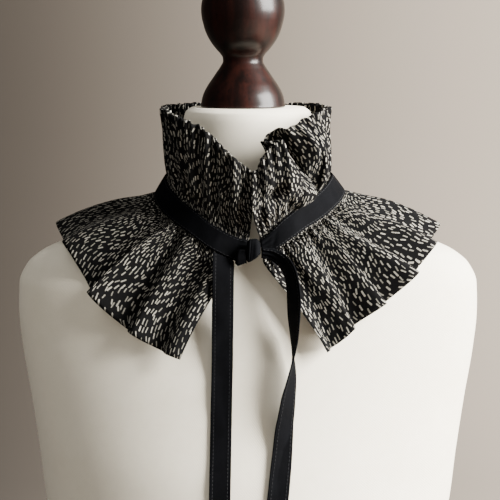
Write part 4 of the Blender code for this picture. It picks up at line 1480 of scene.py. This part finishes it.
@dataclass
class UpperFrill(GatheredCloth):
    """The standing frill above the tape."""

    name: str = "standing_frill"
    node: str = "upper_frill"
    columns: int = 920
    rows: int = 40
    tape_share: float = 0.2
    seam_turns: tuple[float, float] = (6.5, 360.6)
    rim_turns: tuple[float, float] = (0.6, 362.6)
    flat_width: float = 0.072
    crease_length: float = 0.47
    hem_starts: tuple[float, float] = (0.925, 0.94)
    rise: float = 0.018
    flare: float = 0.0015
    rim_handle: float = 0.4
    fold_growth: float = 1.6
    pleat_levels: tuple[float, float, float] = (0.30, 0.65, 1.0)
    pleat_end: tuple[float, float] = (0.115, 0.155)
    ripple_number: int = 46
    ripple_depth: float = 0.0013
    ripple_drift: float = 1.5
    ripple_drift_rate: float = 9.0
    ripple_growth: float = 4.0
    uneven: Bumps = Bumps(60.0, 2.2, 3.7)
    gathers: Gathers = Gathers(118, 0.00055, 2.4, 3.0, 23.0, 0.8, 0.08)
    gathers_between: float = 0.55
    gathers_at_rim: float = 1.3
    gathers_at_seam: float = 0.9
    gathers_reach: float = 0.35
    puffs: Bumps = Bumps(26.0, 2.6, 8.1, 0.0011)
    rim_wear: Bumps = Bumps(170.0, 1.0, 5.2, 0.0016)
    rim_wear_reach: float = 0.3

    def base(self, share: np.ndarray, v: np.ndarray) -> np.ndarray:
        """The frill without its folds, from the seam to the rim."""
        seam, turn = between(self.seam_turns, share), between(self.rim_turns, share)
        hidden = self.behind_tape(seam, self.from_line(v)[..., None])
        start = self.behind_tape(seam, self.tape_edge)
        rim = around(turn, Column(FRILL_RIM, "radius").at(turn), Column(FRILL_RIM, "height").at(turn))
        below_rim = rim - self.rim_handle * UPWARD * (rim[..., 2:] - start[..., 2:])
        radius = np.hypot(start[..., 0], start[..., 1]) + self.flare
        above_seam = around(turn, radius, start[..., 2] + self.rise)
        free = bezier(start, above_seam, below_rim, rim, self.past_tape(v)[..., None])
        return np.where(v[..., None] <= self.tape_share, hidden, free)

    def pleated(self, points: np.ndarray, share: np.ndarray, t: np.ndarray) -> np.ndarray:
        """Lay the pleat by the right front edge.

        Args:
            points: The frill without its folds.
            share: Shares along the strip, as a column.
            t: Shares of the way from the tape's edge to the rim, as a row.

        Returns:
            The grid with the first part of the strip folded.
        """
        first = int(np.argmax(t[0] > 0.0)) - 1
        flat = points[:, first, :]
        turns = [np.degrees(np.arctan2(flat[:, :1], -flat[:, 1:2]))]
        radii = [np.hypot(flat[:, :1], flat[:, 1:2])]
        for table in (PLEAT_LOW, PLEAT_MIDDLE, PLEAT_RIM):
            turns.append(Column(table, "turn").at(share))
            radii.append(Column(table, "radius").at(share))
        levels = (0.0, *self.pleat_levels)
        turn, radius = np.zeros(points.shape[:2]), np.zeros(points.shape[:2])
        for i, level in enumerate(levels):
            weight = np.ones_like(t)
            for other in levels[:i] + levels[i + 1:]:
                weight = weight * (t - other) / (level - other)
            turn += weight * turns[i]
            radius += weight * radii[i]
        folded = around(turn, radius, points[..., 2])
        amount = (1 - ramp(share, *self.pleat_end)) * (t > 0.0)
        return points + (folded - points) * amount[..., None]

    def folds(self, share: np.ndarray, t: np.ndarray) -> np.ndarray:
        """How far the large folds and the ripples between them stand out."""
        seam, rim = between(self.seam_turns, share), between(self.rim_turns, share)
        turn = seam + (rim - seam) * t
        out = np.zeros_like(turn)
        for fold in FRILL_FOLDS:
            middle = fold.seam_turn + (fold.rim_turn - fold.seam_turn) * t
            out += fold.out * bell(turn - middle, fold.half_width) * np.minimum(1.0, self.fold_growth * t)
        drift = self.ripple_drift * np.sin(self.ripple_drift_rate * share)
        wave = 2 * np.pi * self.ripple_number * share + drift
        return out + self.ripple_depth * np.cos(wave) * np.minimum(1.0, self.ripple_growth * t)

    def surface(self, share: np.ndarray, v: np.ndarray) -> np.ndarray:
        """The frill with its pleat, folds, gathers and creases.

        Args:
            share: Shares along the strip, as a column.
            v: Shares across the strip, as a row.

        Returns:
            The grid of points.
        """
        t = self.past_tape(v)
        points = self.pleated(self.base(share, v), share, t)
        fade = (self.gathers_between + self.gathers_at_rim * bell(t - 1.0, self.gathers_reach)
                + self.gathers_at_seam * bell(t, self.gathers_reach))
        out = self.folds(share, t) + self.relief(share, v, fade)
        out += creased(FRILL_CREASES, share, v, self.crease_length)
        normal = surface_frame(points, True)[0]
        points = points + normal * out[..., None]
        points[..., 2] += self.rim_wear.at(share, v) * bell(t - 1.0, self.rim_wear_reach)
        return points


@dataclass
class LowerRuffle(GatheredCloth):
    """The deep ruffle below the tape."""

    name: str = "falling_ruffle"
    node: str = "lower_ruffle"
    rests_on: str = "jersey_body"
    flip: bool = True
    columns: int = 940
    rows: int = 52
    tape_share: float = 0.125
    seam_turns: tuple[float, float] = (8.0, 352.0)
    flat_width: float = 0.090
    crease_length: float = 0.75
    hem_starts: tuple[float, float] = (0.945, 0.955)
    drop: float = 0.007
    bulge: float = 0.010
    bulge_share: float = 0.6
    fold_growth: float = 0.7
    uneven: Bumps = Bumps(52.0, 1.6, 1.3)
    gathers: Gathers = Gathers(112, 0.0013, 2.6, 2.2, 31.0, 0.9, 0.06)
    gathers_at_hem: float = 0.12
    gathers_reach: float = 0.42
    puffs: Bumps = Bumps(30.0, 1.2, 6.4, 0.0016)
    puff_starts: tuple[float, float] = (0.05, 0.4)
    wrinkles: Bumps = Bumps(90.0, 3.0, 2.6, 0.0007)
    wrinkle_starts: tuple[float, float] = (0.2, 0.9)

    def base(self, share: np.ndarray, v: np.ndarray) -> np.ndarray:
        """The ruffle without its folds, from the seam to the hem."""
        seam = between(self.seam_turns, share)
        hidden = self.behind_tape(seam, -self.from_line(v)[..., None])
        start = self.behind_tape(seam, -self.tape_edge)
        up = self.path.frame(seam)[1]
        hem = around(*(Column(RUFFLE_HEM, name).at(share) for name in ("turn", "radius", "height")))
        before_hem = start + (hem - start) * self.bulge_share + UPWARD * self.bulge
        free = bezier(start, start - up * self.drop, before_hem, hem, self.past_tape(v)[..., None])
        return np.where(v[..., None] <= self.tape_share, hidden, free)

    @staticmethod
    def folds(turn: np.ndarray) -> tuple[np.ndarray, np.ndarray]:
        """Height and lean of the ruffle's folds at turns along its hem."""
        keys = []
        for fold in RUFFLE_FOLDS:
            keys.append((fold.crest, fold.crest_out, fold.lean))
            keys.append((fold.valley, -fold.valley_in, fold.lean))
        places, heights, leans = (np.array(column) for column in zip(*keys))
        inside = np.clip(turn, places[0], places[-1])
        i = np.clip(np.searchsorted(places, inside, side="right") - 1, 0, len(places) - 2)
        share = 0.5 - 0.5 * np.cos(np.pi * (inside - places[i]) / (places[i + 1] - places[i]))
        return (heights[i] + (heights[i + 1] - heights[i]) * share,
                leans[i] + (leans[i + 1] - leans[i]) * share)

    def surface(self, share: np.ndarray, v: np.ndarray) -> np.ndarray:
        """The ruffle with its folds, gathers and creases.

        Args:
            share: Shares along the strip, as a column.
            v: Shares across the strip, as a row.

        Returns:
            The grid of points.
        """
        points = self.base(share, v)
        normal, along = surface_frame(points, False)
        t = self.past_tape(v)
        height, lean = self.folds(Column(RUFFLE_HEM, "turn").at(share))
        out = height * t ** self.fold_growth
        shift = out * lean * t
        out = out + self.relief(share, v, self.gathers_at_hem + bell(t, self.gathers_reach))
        out += self.wrinkles.at(share, v) * ramp(t, *self.wrinkle_starts)
        out += creased(RUFFLE_CREASES, share, v, self.crease_length)
        return points + normal * out[..., None] + along * shift[..., None]


@dataclass
class Stitching:
    """Rows of small stitches, each a short rounded bar, joined in one mesh."""

    pitch: float = 0.0028
    length: float = 0.0020
    radius: float = 0.00022
    lift: float = 0.35
    segments: int = 6
    rings: int = 5

    def build(self, name: str, rows: Sequence[tuple[np.ndarray, np.ndarray]],
              thread: bpy.types.Material) -> bpy.types.Object:
        """Lay stitches along rows.

        Args:
            name: The object's name.
            rows: For each row its points and the outward directions there.
            thread: Its finish.

        Returns:
            The object.
        """
        bm = bmesh.new()
        for points, outward in rows:
            steps = np.linalg.norm(np.diff(points, axis=0), axis=1)
            run = np.concatenate(([0.0], np.cumsum(steps)))
            count = int(run[-1] / self.pitch)
            for k in range(count):
                middle = (k + 0.5) * run[-1] / count
                at, ahead, behind, out = (
                    np.array([np.interp(s, run, data[:, axis]) for axis in range(3)])
                    for s, data in ((middle, points), (middle + self.length / 2, points),
                                    (middle - self.length / 2, points), (middle, outward)))
                self.add_stitch(bm, Vector(at), Vector(ahead - behind), Vector(out))
        piece = Scene.link(name, bm, thread, SMOOTH_ANGLE)
        return piece

    def add_stitch(self, bm: bmesh.types.BMesh, at: Vector, ahead: Vector, out: Vector) -> None:
        """Add one stitch, partly sunk in the cloth."""
        made = bmesh.ops.create_uvsphere(bm, u_segments=self.segments, v_segments=self.rings, radius=1.0)
        ahead = ahead.normalized()
        side = out.cross(ahead).normalized()
        up = ahead.cross(side)
        for vert in made["verts"]:
            local = vert.co.copy()
            vert.co = (at + ahead * (local.z * self.length / 2) + side * (local.x * self.radius)
                       + up * (local.y * self.radius + self.radius * self.lift))


@dataclass
class NeckTape:
    """The tape round the neck, over the gathering line."""

    path: TapePath
    columns: int = 560
    rows: int = 18
    flat_length: float = 0.452
    thickness: float = 0.0009
    turns: tuple[float, float] = (7.2, 359.3)
    gather_turn: float = 14.0
    gather_share: float = 0.62
    gather_power: float = 1.5
    edge: Selvedge = Selvedge(0.00016, 0.00022, 0.0014)
    pleat_turns: tuple[float, float] = (9.0, 6.0)
    pleat_depth: float = 0.0006
    pleat_number: float = 3.2
    pleat_slant: float = 3.0
    pleat_power: float = 1.2
    crease_length: float = 0.45
    puffs: Bumps = Bumps(60.0, 1.4, 9.3, 0.00025)

    def points(self, share: np.ndarray, v: np.ndarray) -> tuple[np.ndarray, np.ndarray]:
        """The tape's surface points and its outward directions."""
        turn = between(self.turns, share)
        centre, up, out = self.path.frame(turn)
        past_start, before_end = turn - self.turns[0], self.turns[1] - turn
        gathered = np.clip(1 - past_start / self.gather_turn, 0.0, 1.0) ** self.gather_power
        width = self.path.width * (1 - (1 - self.gather_share) * gathered)
        near_knot = (np.clip(1 - past_start / self.pleat_turns[0], 0.0, 1.0)
                     + np.clip(1 - before_end / self.pleat_turns[1], 0.0, 1.0)) ** self.pleat_power
        wave = 2 * np.pi * self.pleat_number * (v - 0.5) + self.pleat_slant * share
        lift = self.edge.lift(v, self.path.width) + self.pleat_depth * np.cos(wave) * near_knot
        lift = lift + creased(TAPE_CREASES, share, v, self.crease_length) + self.puffs.at(share, v)
        place = centre + up * ((v - 0.5) * width)[..., None] + out * lift[..., None]
        return place, np.broadcast_to(out, place.shape)

    def build(self, tape: bpy.types.Material, thread: bpy.types.Material) -> bpy.types.Object:
        """Build the tape and the stitches along its two edges."""
        share, v = grid_shares(self.columns, self.rows)
        place = self.points(share, v)[0]
        flat = (self.flat_length, self.path.width)
        piece = Scene.cloth("neck_band", place, flat, tape, self.thickness)
        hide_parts("neck_tape")
        inset = self.edge.inset / self.path.width
        rows = []
        for v_row in (inset, 1 - inset):
            line, outward = self.points(share, np.array([[v_row]]))
            rows.append((line[:, 0] + outward[:, 0] * self.thickness / 2, outward[:, 0]))
        Stitching().build("neck_band_stitches", rows, thread)
        return piece


@dataclass
class TieKnot:
    """The half knot: the tight wrap of tape and its small folded loop."""

    centre: Place = (0.0041, -0.0844, 0.5765)
    half_width: float = 0.0055
    half_depth: float = 0.0062
    half_height: float = 0.0098
    lower_share: float = 0.60
    lower_slope: float = 0.70
    squareness: float = 0.62
    wrap_segments: int = 128
    wrap_rings: int = 96
    furrows: tuple[Furrow, Furrow] = (Furrow(-0.42, 0.10, 1.0), Furrow(0.80, 0.09, 0.8))
    furrow_slant: float = 0.12
    furrow_depth: float = 0.10
    furrow_narrowing: float = 0.04
    furrow_shortening: float = 0.03
    slack: float = 0.03
    swell: float = 0.05
    swell_rate: float = 7.0
    swell_phase: float = 0.8
    loop_right: float = -0.0017
    loop_left: float = -0.0095
    loop_front: float = -0.0884
    loop_fold: float = 0.0019
    loop_top: float = 0.5788
    loop_bottom: float = 0.5664
    loop_slant: float = 0.0016
    loop_rounding: float = 0.0022
    loop_flat: float = 0.35
    loop_grid: tuple[int, int] = (90, 30)
    loop_size: tuple[float, float] = (0.020, 0.0124)
    loop_map: tuple[float, float] = (0.024, 0.0124)
    loop_thickness: float = 0.0009
    corner: float = 0.0018
    upper_corner: float = 0.6
    loop_puff: float = 0.00045
    loop_puff_number: float = 1.4
    loop_puff_middle: float = 0.42

    def build(self, tape: bpy.types.Material, plain_tape: bpy.types.Material) -> None:
        """Build the wrap and the loop."""
        self.build_wrap(plain_tape)
        self.build_loop(tape)

    def build_wrap(self, tape: bpy.types.Material) -> bpy.types.Object:
        """Make the wrap, with the creases that run round it."""
        bm = bmesh.new()
        bmesh.ops.create_uvsphere(bm, u_segments=self.wrap_segments, v_segments=self.wrap_rings, radius=1.0)
        for vert in bm.verts:
            x, y, z = (math.copysign(abs(c) ** self.squareness, c) for c in vert.co)
            reach = self.half_height * (1.0 if z > 0 else self.lower_share)
            lower = self.lower_slope * self.half_width * x * max(0.0, -z)
            bent = x - self.furrow_slant * z
            furrow = sum(f.depth * math.exp(-((bent - f.place) / f.half_width) ** 2) for f in self.furrows)
            pressed = self.swell * math.cos(self.swell_rate * bent + self.swell_phase)
            pressed += self.furrow_depth * furrow
            inside = 1.0 - (self.slack + pressed) * (1.0 - abs(z) ** 4)
            across = x * (1.0 - self.furrow_narrowing * furrow * abs(z))
            vert.co = (self.centre[0] + self.half_width * across,
                       self.centre[1] + self.half_depth * y * min(inside, 1.0),
                       self.centre[2] + reach * z * (1.0 - self.furrow_shortening * furrow) + lower)
        piece = Scene.link("tie_wrap", bm, tape, SMOOTH_ANGLE)
        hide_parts("tie_knot")
        return piece

    def build_loop(self, tape: bpy.types.Material) -> bpy.types.Object:
        """Make the small loop, a strip folded back on itself."""
        share, v = grid_shares(*self.loop_grid)
        flat = self.loop_flat
        angle = np.pi * np.clip((share - flat) / (1 - 2 * flat), 0.0, 1.0)
        reach = np.minimum(np.minimum(share / flat, (1 - share) / flat), 1.0)
        x = self.loop_right + (self.loop_left + self.loop_fold - self.loop_right) * reach
        x = x - self.loop_fold * np.sin(angle) + self.loop_slant * reach * v
        y = self.loop_front + self.loop_fold - self.loop_fold * np.cos(angle)
        lower = self.loop_rounding * (1 - reach) * (1 - v)
        corner = self.corner * np.sin(angle) * ((1 - v) ** 4 - self.upper_corner * v ** 4)
        puff = self.loop_puff * np.cos(2 * np.pi * self.loop_puff_number * (v - self.loop_puff_middle))
        z = self.loop_bottom + (self.loop_top - self.loop_bottom) * v + lower + corner
        points = np.stack(np.broadcast_arrays(x, y - puff * np.cos(angle), z), axis=-1)
        piece = Scene.cloth("tie_fold", points, self.loop_map, tape, self.loop_thickness, flip=True)
        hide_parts("tie_loop")
        return piece


@dataclass
class TieTail:
    """A tail of the tie, hanging down the chest."""

    name: str
    node: str
    table: Sequence[TailRow]
    slant: float
    seed: float
    width: float = 0.016
    columns: int = 20
    rows: int = 360
    thickness: float = 0.0009
    gap: float = 0.0012
    slant_run: float = 0.016
    slope_step: float = 0.001
    edge: Selvedge = Selvedge(0.00014, 0.0002, 0.0026)
    ripple_counts: tuple[float, float] = (1.5, 60.0)
    ripple_height: float = 0.0005
    ripple_start: float = 0.02
    curl: float = 0.0006
    curl_rate: float = 70.0
    gather_width: float = 0.98
    gather_growth: float = 1.8
    gather_depth: float = 0.0007
    gather_number: float = 2.6
    gather_middle: float = 0.45
    gather_slant: float = 40.0

    def relief(self, v: np.ndarray, run: np.ndarray, width: np.ndarray) -> np.ndarray:
        """How far the edges, ripples and gathers stand out.

        Args:
            v: Shares across the tail, as a column.
            run: Distances from the tail's upper end, as a row.
            width: The tail's shares of its full width, as a row.

        Returns:
            The heights, one for each grid point.
        """
        ripples = Bumps(*self.ripple_counts, self.seed, self.ripple_height)
        lift = self.edge.lift(v, self.width) + ripples.at(v, run) * ramp(run, 0.0, self.ripple_start)
        lift = lift + self.curl * (2 * v - 1) ** 2 * np.sin(self.curl_rate * run + self.seed)
        gathered = np.clip((self.gather_width - width) * self.gather_growth, 0.0, 1.0)
        wave = 2 * np.pi * self.gather_number * (v - self.gather_middle) + self.gather_slant * run
        return lift + self.gather_depth * gathered * np.cos(wave)

    def points(self, v: np.ndarray, run: np.ndarray, form: BVHTree) -> tuple[np.ndarray, np.ndarray]:
        """The tail's surface points and its front directions.

        Args:
            v: Shares across the tail, as a column.
            run: Distances from the tail's upper end, as a row.
            form: The form's surface.

        Returns:
            The points and the directions of the tail's first face.
        """
        across, height, forward, width, twist = (
            Column(self.table, name).at(run) for name in ("across", "height", "forward", "width", "twist"))
        on_form = np.array([[self.reach(form, x, z) for x, z in zip(across[0], height[0])]])
        forward = np.maximum(forward, on_form + self.gap)
        before, after = run - self.slope_step, run + self.slope_step
        right, down = (Column(self.table, name).at(after) - Column(self.table, name).at(before)
                       for name in ("across", "height"))
        level = np.zeros_like(run)
        ahead = unit(np.stack((right, level, down), axis=-1))
        beside = np.stack((-ahead[..., 2], level, ahead[..., 0]), axis=-1)
        angle = np.radians(twist)[..., None]
        side = beside * np.cos(angle) + FORWARD * np.sin(angle)
        front = FORWARD * np.cos(angle) - beside * np.sin(angle)
        side[..., 2] += self.slant * np.clip(1 - run / self.slant_run, 0.0, 1.0)
        centre = np.stack((across, -forward, height), axis=-1)
        lift = self.relief(v, run, width)
        place = centre + side * (self.width * width * (v - 0.5))[..., None] + front * lift[..., None]
        return place, np.broadcast_to(front, place.shape)

    @staticmethod
    def reach(form: BVHTree, across: float, height: float) -> float:
        """How far forward the form reaches at a place on its front."""
        return -form.ray_cast(Vector((across, -1.0, height)), Vector((0, 1, 0)))[0].y

    def build(self, tape: bpy.types.Material, thread: bpy.types.Material, form: BVHTree) -> bpy.types.Object:
        """Build the tail and its topstitching.

        Args:
            tape: Its finish.
            thread: The stitches' finish.
            form: The form's surface, on which it rests.

        Returns:
            The object.
        """
        v = np.linspace(0, 1, self.columns + 1)[:, None]
        run = (self.table[-1].run * (1 - np.linspace(0, 1, self.rows + 1)))[None, :]
        place, front = self.points(v, run, form)
        place = keep_off(place, form, self.gap)
        length = float(np.linalg.norm(np.diff(place[self.columns // 2], axis=0), axis=1).sum())
        piece = Scene.cloth(self.name, place, (self.width, length), tape, self.thickness)
        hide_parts(self.node)
        inset = self.edge.inset / self.width
        rows = []
        for share in (inset, 1 - inset):
            k = round(share * self.columns)
            for face in (1, -1):
                rows.append((place[k] + front[k] * face * self.thickness / 2, front[k] * face))
        Stitching().build(f"{self.name}_stitches", rows, thread)
        return piece


@dataclass
class Studio:
    """The plain studio: floor, backdrop, soft lights and the camera."""

    pivot: Place = (0.0, 0.0, 0.5635)
    distance: float = 0.95
    pitch: float = 9.7
    lens: float = 83.4
    sensor: float = 36.0
    axis_pixel: float = 248.0
    image_size: float = 500.0
    sweep_width: float = 7.0
    floor_depth: float = 2.4
    bend: float = 0.6
    wall_height: float = 2.4
    wall_distance: float = 1.5
    sweep_grid: tuple[int, int] = (24, 40)
    sweep_roughness: float = 0.95
    # painted shade: the backdrop's colour runs from dark at the left to light at the right, standing in for
    # the key light falling off
    painted_shade_spread: Spread = Spread(-0.62, 0.8, 0.0, 1.0)
    painted_shade_left: Colour = (0.046, 0.037, 0.029, 1.0)
    painted_shade_right: Colour = (0.330, 0.283, 0.234, 1.0)
    air_colour: Colour = (0.90, 0.885, 0.86, 1.0)
    air_strength: float = 0.085

    def build(self) -> None:
        """Build all of it."""
        self.build_backdrop()
        for lamp in LAMPS:
            self.build_lamp(lamp)
        self.build_air()
        self.build_camera()

    def sweep_point(self, across: float, run: float) -> Place:
        """A point of the backdrop at a run from its front edge over the floor and up the wall."""
        arc = self.bend * math.pi / 2
        bend_start = self.wall_distance - self.bend
        if run < self.floor_depth:
            return across, bend_start - self.floor_depth + run, 0.0
        if run < self.floor_depth + arc:
            angle = (run - self.floor_depth) / self.bend
            return (across, bend_start + self.bend * math.sin(angle),
                    self.bend - self.bend * math.cos(angle))
        return across, self.wall_distance, self.bend + run - self.floor_depth - arc

    def build_backdrop(self) -> None:
        """Make a floor that curves up into a wall."""
        bm = bmesh.new()
        columns, rows = self.sweep_grid
        bmesh.ops.create_grid(bm, x_segments=columns, y_segments=rows, size=0.5)
        total = self.floor_depth + self.bend * math.pi / 2 + self.wall_height
        for vert in bm.verts:
            vert.co = self.sweep_point(vert.co.x * self.sweep_width, (vert.co.y + 0.5) * total)
        mesh = bpy.data.meshes.new("studio_sweep")
        bm.to_mesh(mesh)
        bm.free()
        mesh.shade_smooth()
        mesh.materials.append(self.build_backdrop_finish())
        sweep = bpy.data.objects.new("studio_sweep", mesh)
        bpy.context.scene.collection.objects.link(sweep)

    def build_backdrop_finish(self) -> bpy.types.Material:
        """Make the finish, with painted shade that darkens it towards the left, away from the key light, and
        seen through from behind.
        """
        material = bpy.data.materials.new("studio_sweep_finish")
        material.use_nodes = True
        shader = material.node_tree.nodes["Principled BSDF"]
        n = NodeTree(material.node_tree)
        parts = n.add("ShaderNodeSeparateXYZ")
        n.join(n.add("ShaderNodeTexCoord").outputs["Object"], parts.inputs[0])
        # painted shade: darker towards the left, away from the key light
        side = n.spread(parts.outputs[0], self.painted_shade_spread)
        n.join(n.mix_colour(side, self.painted_shade_left, self.painted_shade_right), shader.inputs["Base Color"])
        shader.inputs["Roughness"].default_value = self.sweep_roughness
        see_through = n.add("ShaderNodeMixShader")
        n.join(n.add("ShaderNodeNewGeometry").outputs["Backfacing"], see_through.inputs[0])
        n.join(shader.outputs[0], see_through.inputs[1])
        n.join(n.add("ShaderNodeBsdfTransparent").outputs[0], see_through.inputs[2])
        n.join(see_through.outputs[0], material.node_tree.nodes["Material Output"].inputs["Surface"])
        return material

    @staticmethod
    def build_lamp(lamp: Lamp) -> None:
        """Add a soft square light that points at its aim."""
        data = bpy.data.lights.new(lamp.name, "AREA")
        data.shape = "RECTANGLE"
        data.size = lamp.size
        data.size_y = lamp.size
        data.energy = lamp.power
        data.color = lamp.colour
        light = bpy.data.objects.new(lamp.name, data)
        light.location = lamp.place
        light.visible_glossy = lamp.mirrored
        light.rotation_euler = (Vector(lamp.aim) - Vector(lamp.place)).to_track_quat("-Z", "Y").to_euler()
        bpy.context.scene.collection.objects.link(light)

    def build_air(self) -> None:
        """Add the weak even light that comes from all round."""
        world = bpy.data.worlds.new("studio_world")
        bpy.context.scene.world = world
        world.use_nodes = True
        background = world.node_tree.nodes["Background"]
        background.inputs["Color"].default_value = self.air_colour
        background.inputs["Strength"].default_value = self.air_strength

    def build_camera(self) -> None:
        """Set the camera at the photograph's angle."""
        data = bpy.data.cameras.new("camera")
        data.lens = self.lens
        data.sensor_width = self.sensor
        data.shift_x = (self.image_size / 2 - self.axis_pixel) / self.image_size
        camera = bpy.data.objects.new("camera", data)
        angle = math.radians(self.pitch)
        pivot = Vector(self.pivot)
        camera.location = pivot + Vector((0.0, -math.cos(angle), math.sin(angle))) * self.distance
        camera.rotation_euler = (pivot - camera.location).to_track_quat("-Z", "Y").to_euler()
        bpy.context.scene.collection.objects.link(camera)
        bpy.context.scene.camera = camera


def main() -> None:
    """Build the studio, the form and the collar, in that order."""
    logging.basicConfig(level=logging.INFO, format="%(name)s %(message)s")
    Studio().build()
    cotton = PrintedCotton().build()
    tape = BlackTape().build()
    plain_tape = BlackTape(name="black_tape_knot_finish", uses_map=False).build()
    thread = SewingThread().build()
    form = DressForm().build(IvoryJersey().build(), TurnedWood().build())
    path = TapePath()
    UpperFrill(path).build(cotton, form)
    LowerRuffle(path).build(cotton, form)
    NeckTape(path).build(tape, thread)
    TieKnot().build(tape, plain_tape)
    TieTail("tail_left", "tie_tail_left", TAIL_LEFT, slant=-0.45, seed=1.7).build(tape, thread, form)
    TieTail("tail_right", "tie_tail_right", TAIL_RIGHT, slant=0.0, seed=4.1).build(tape, thread, form)


if __name__ == "__main__":
    main()
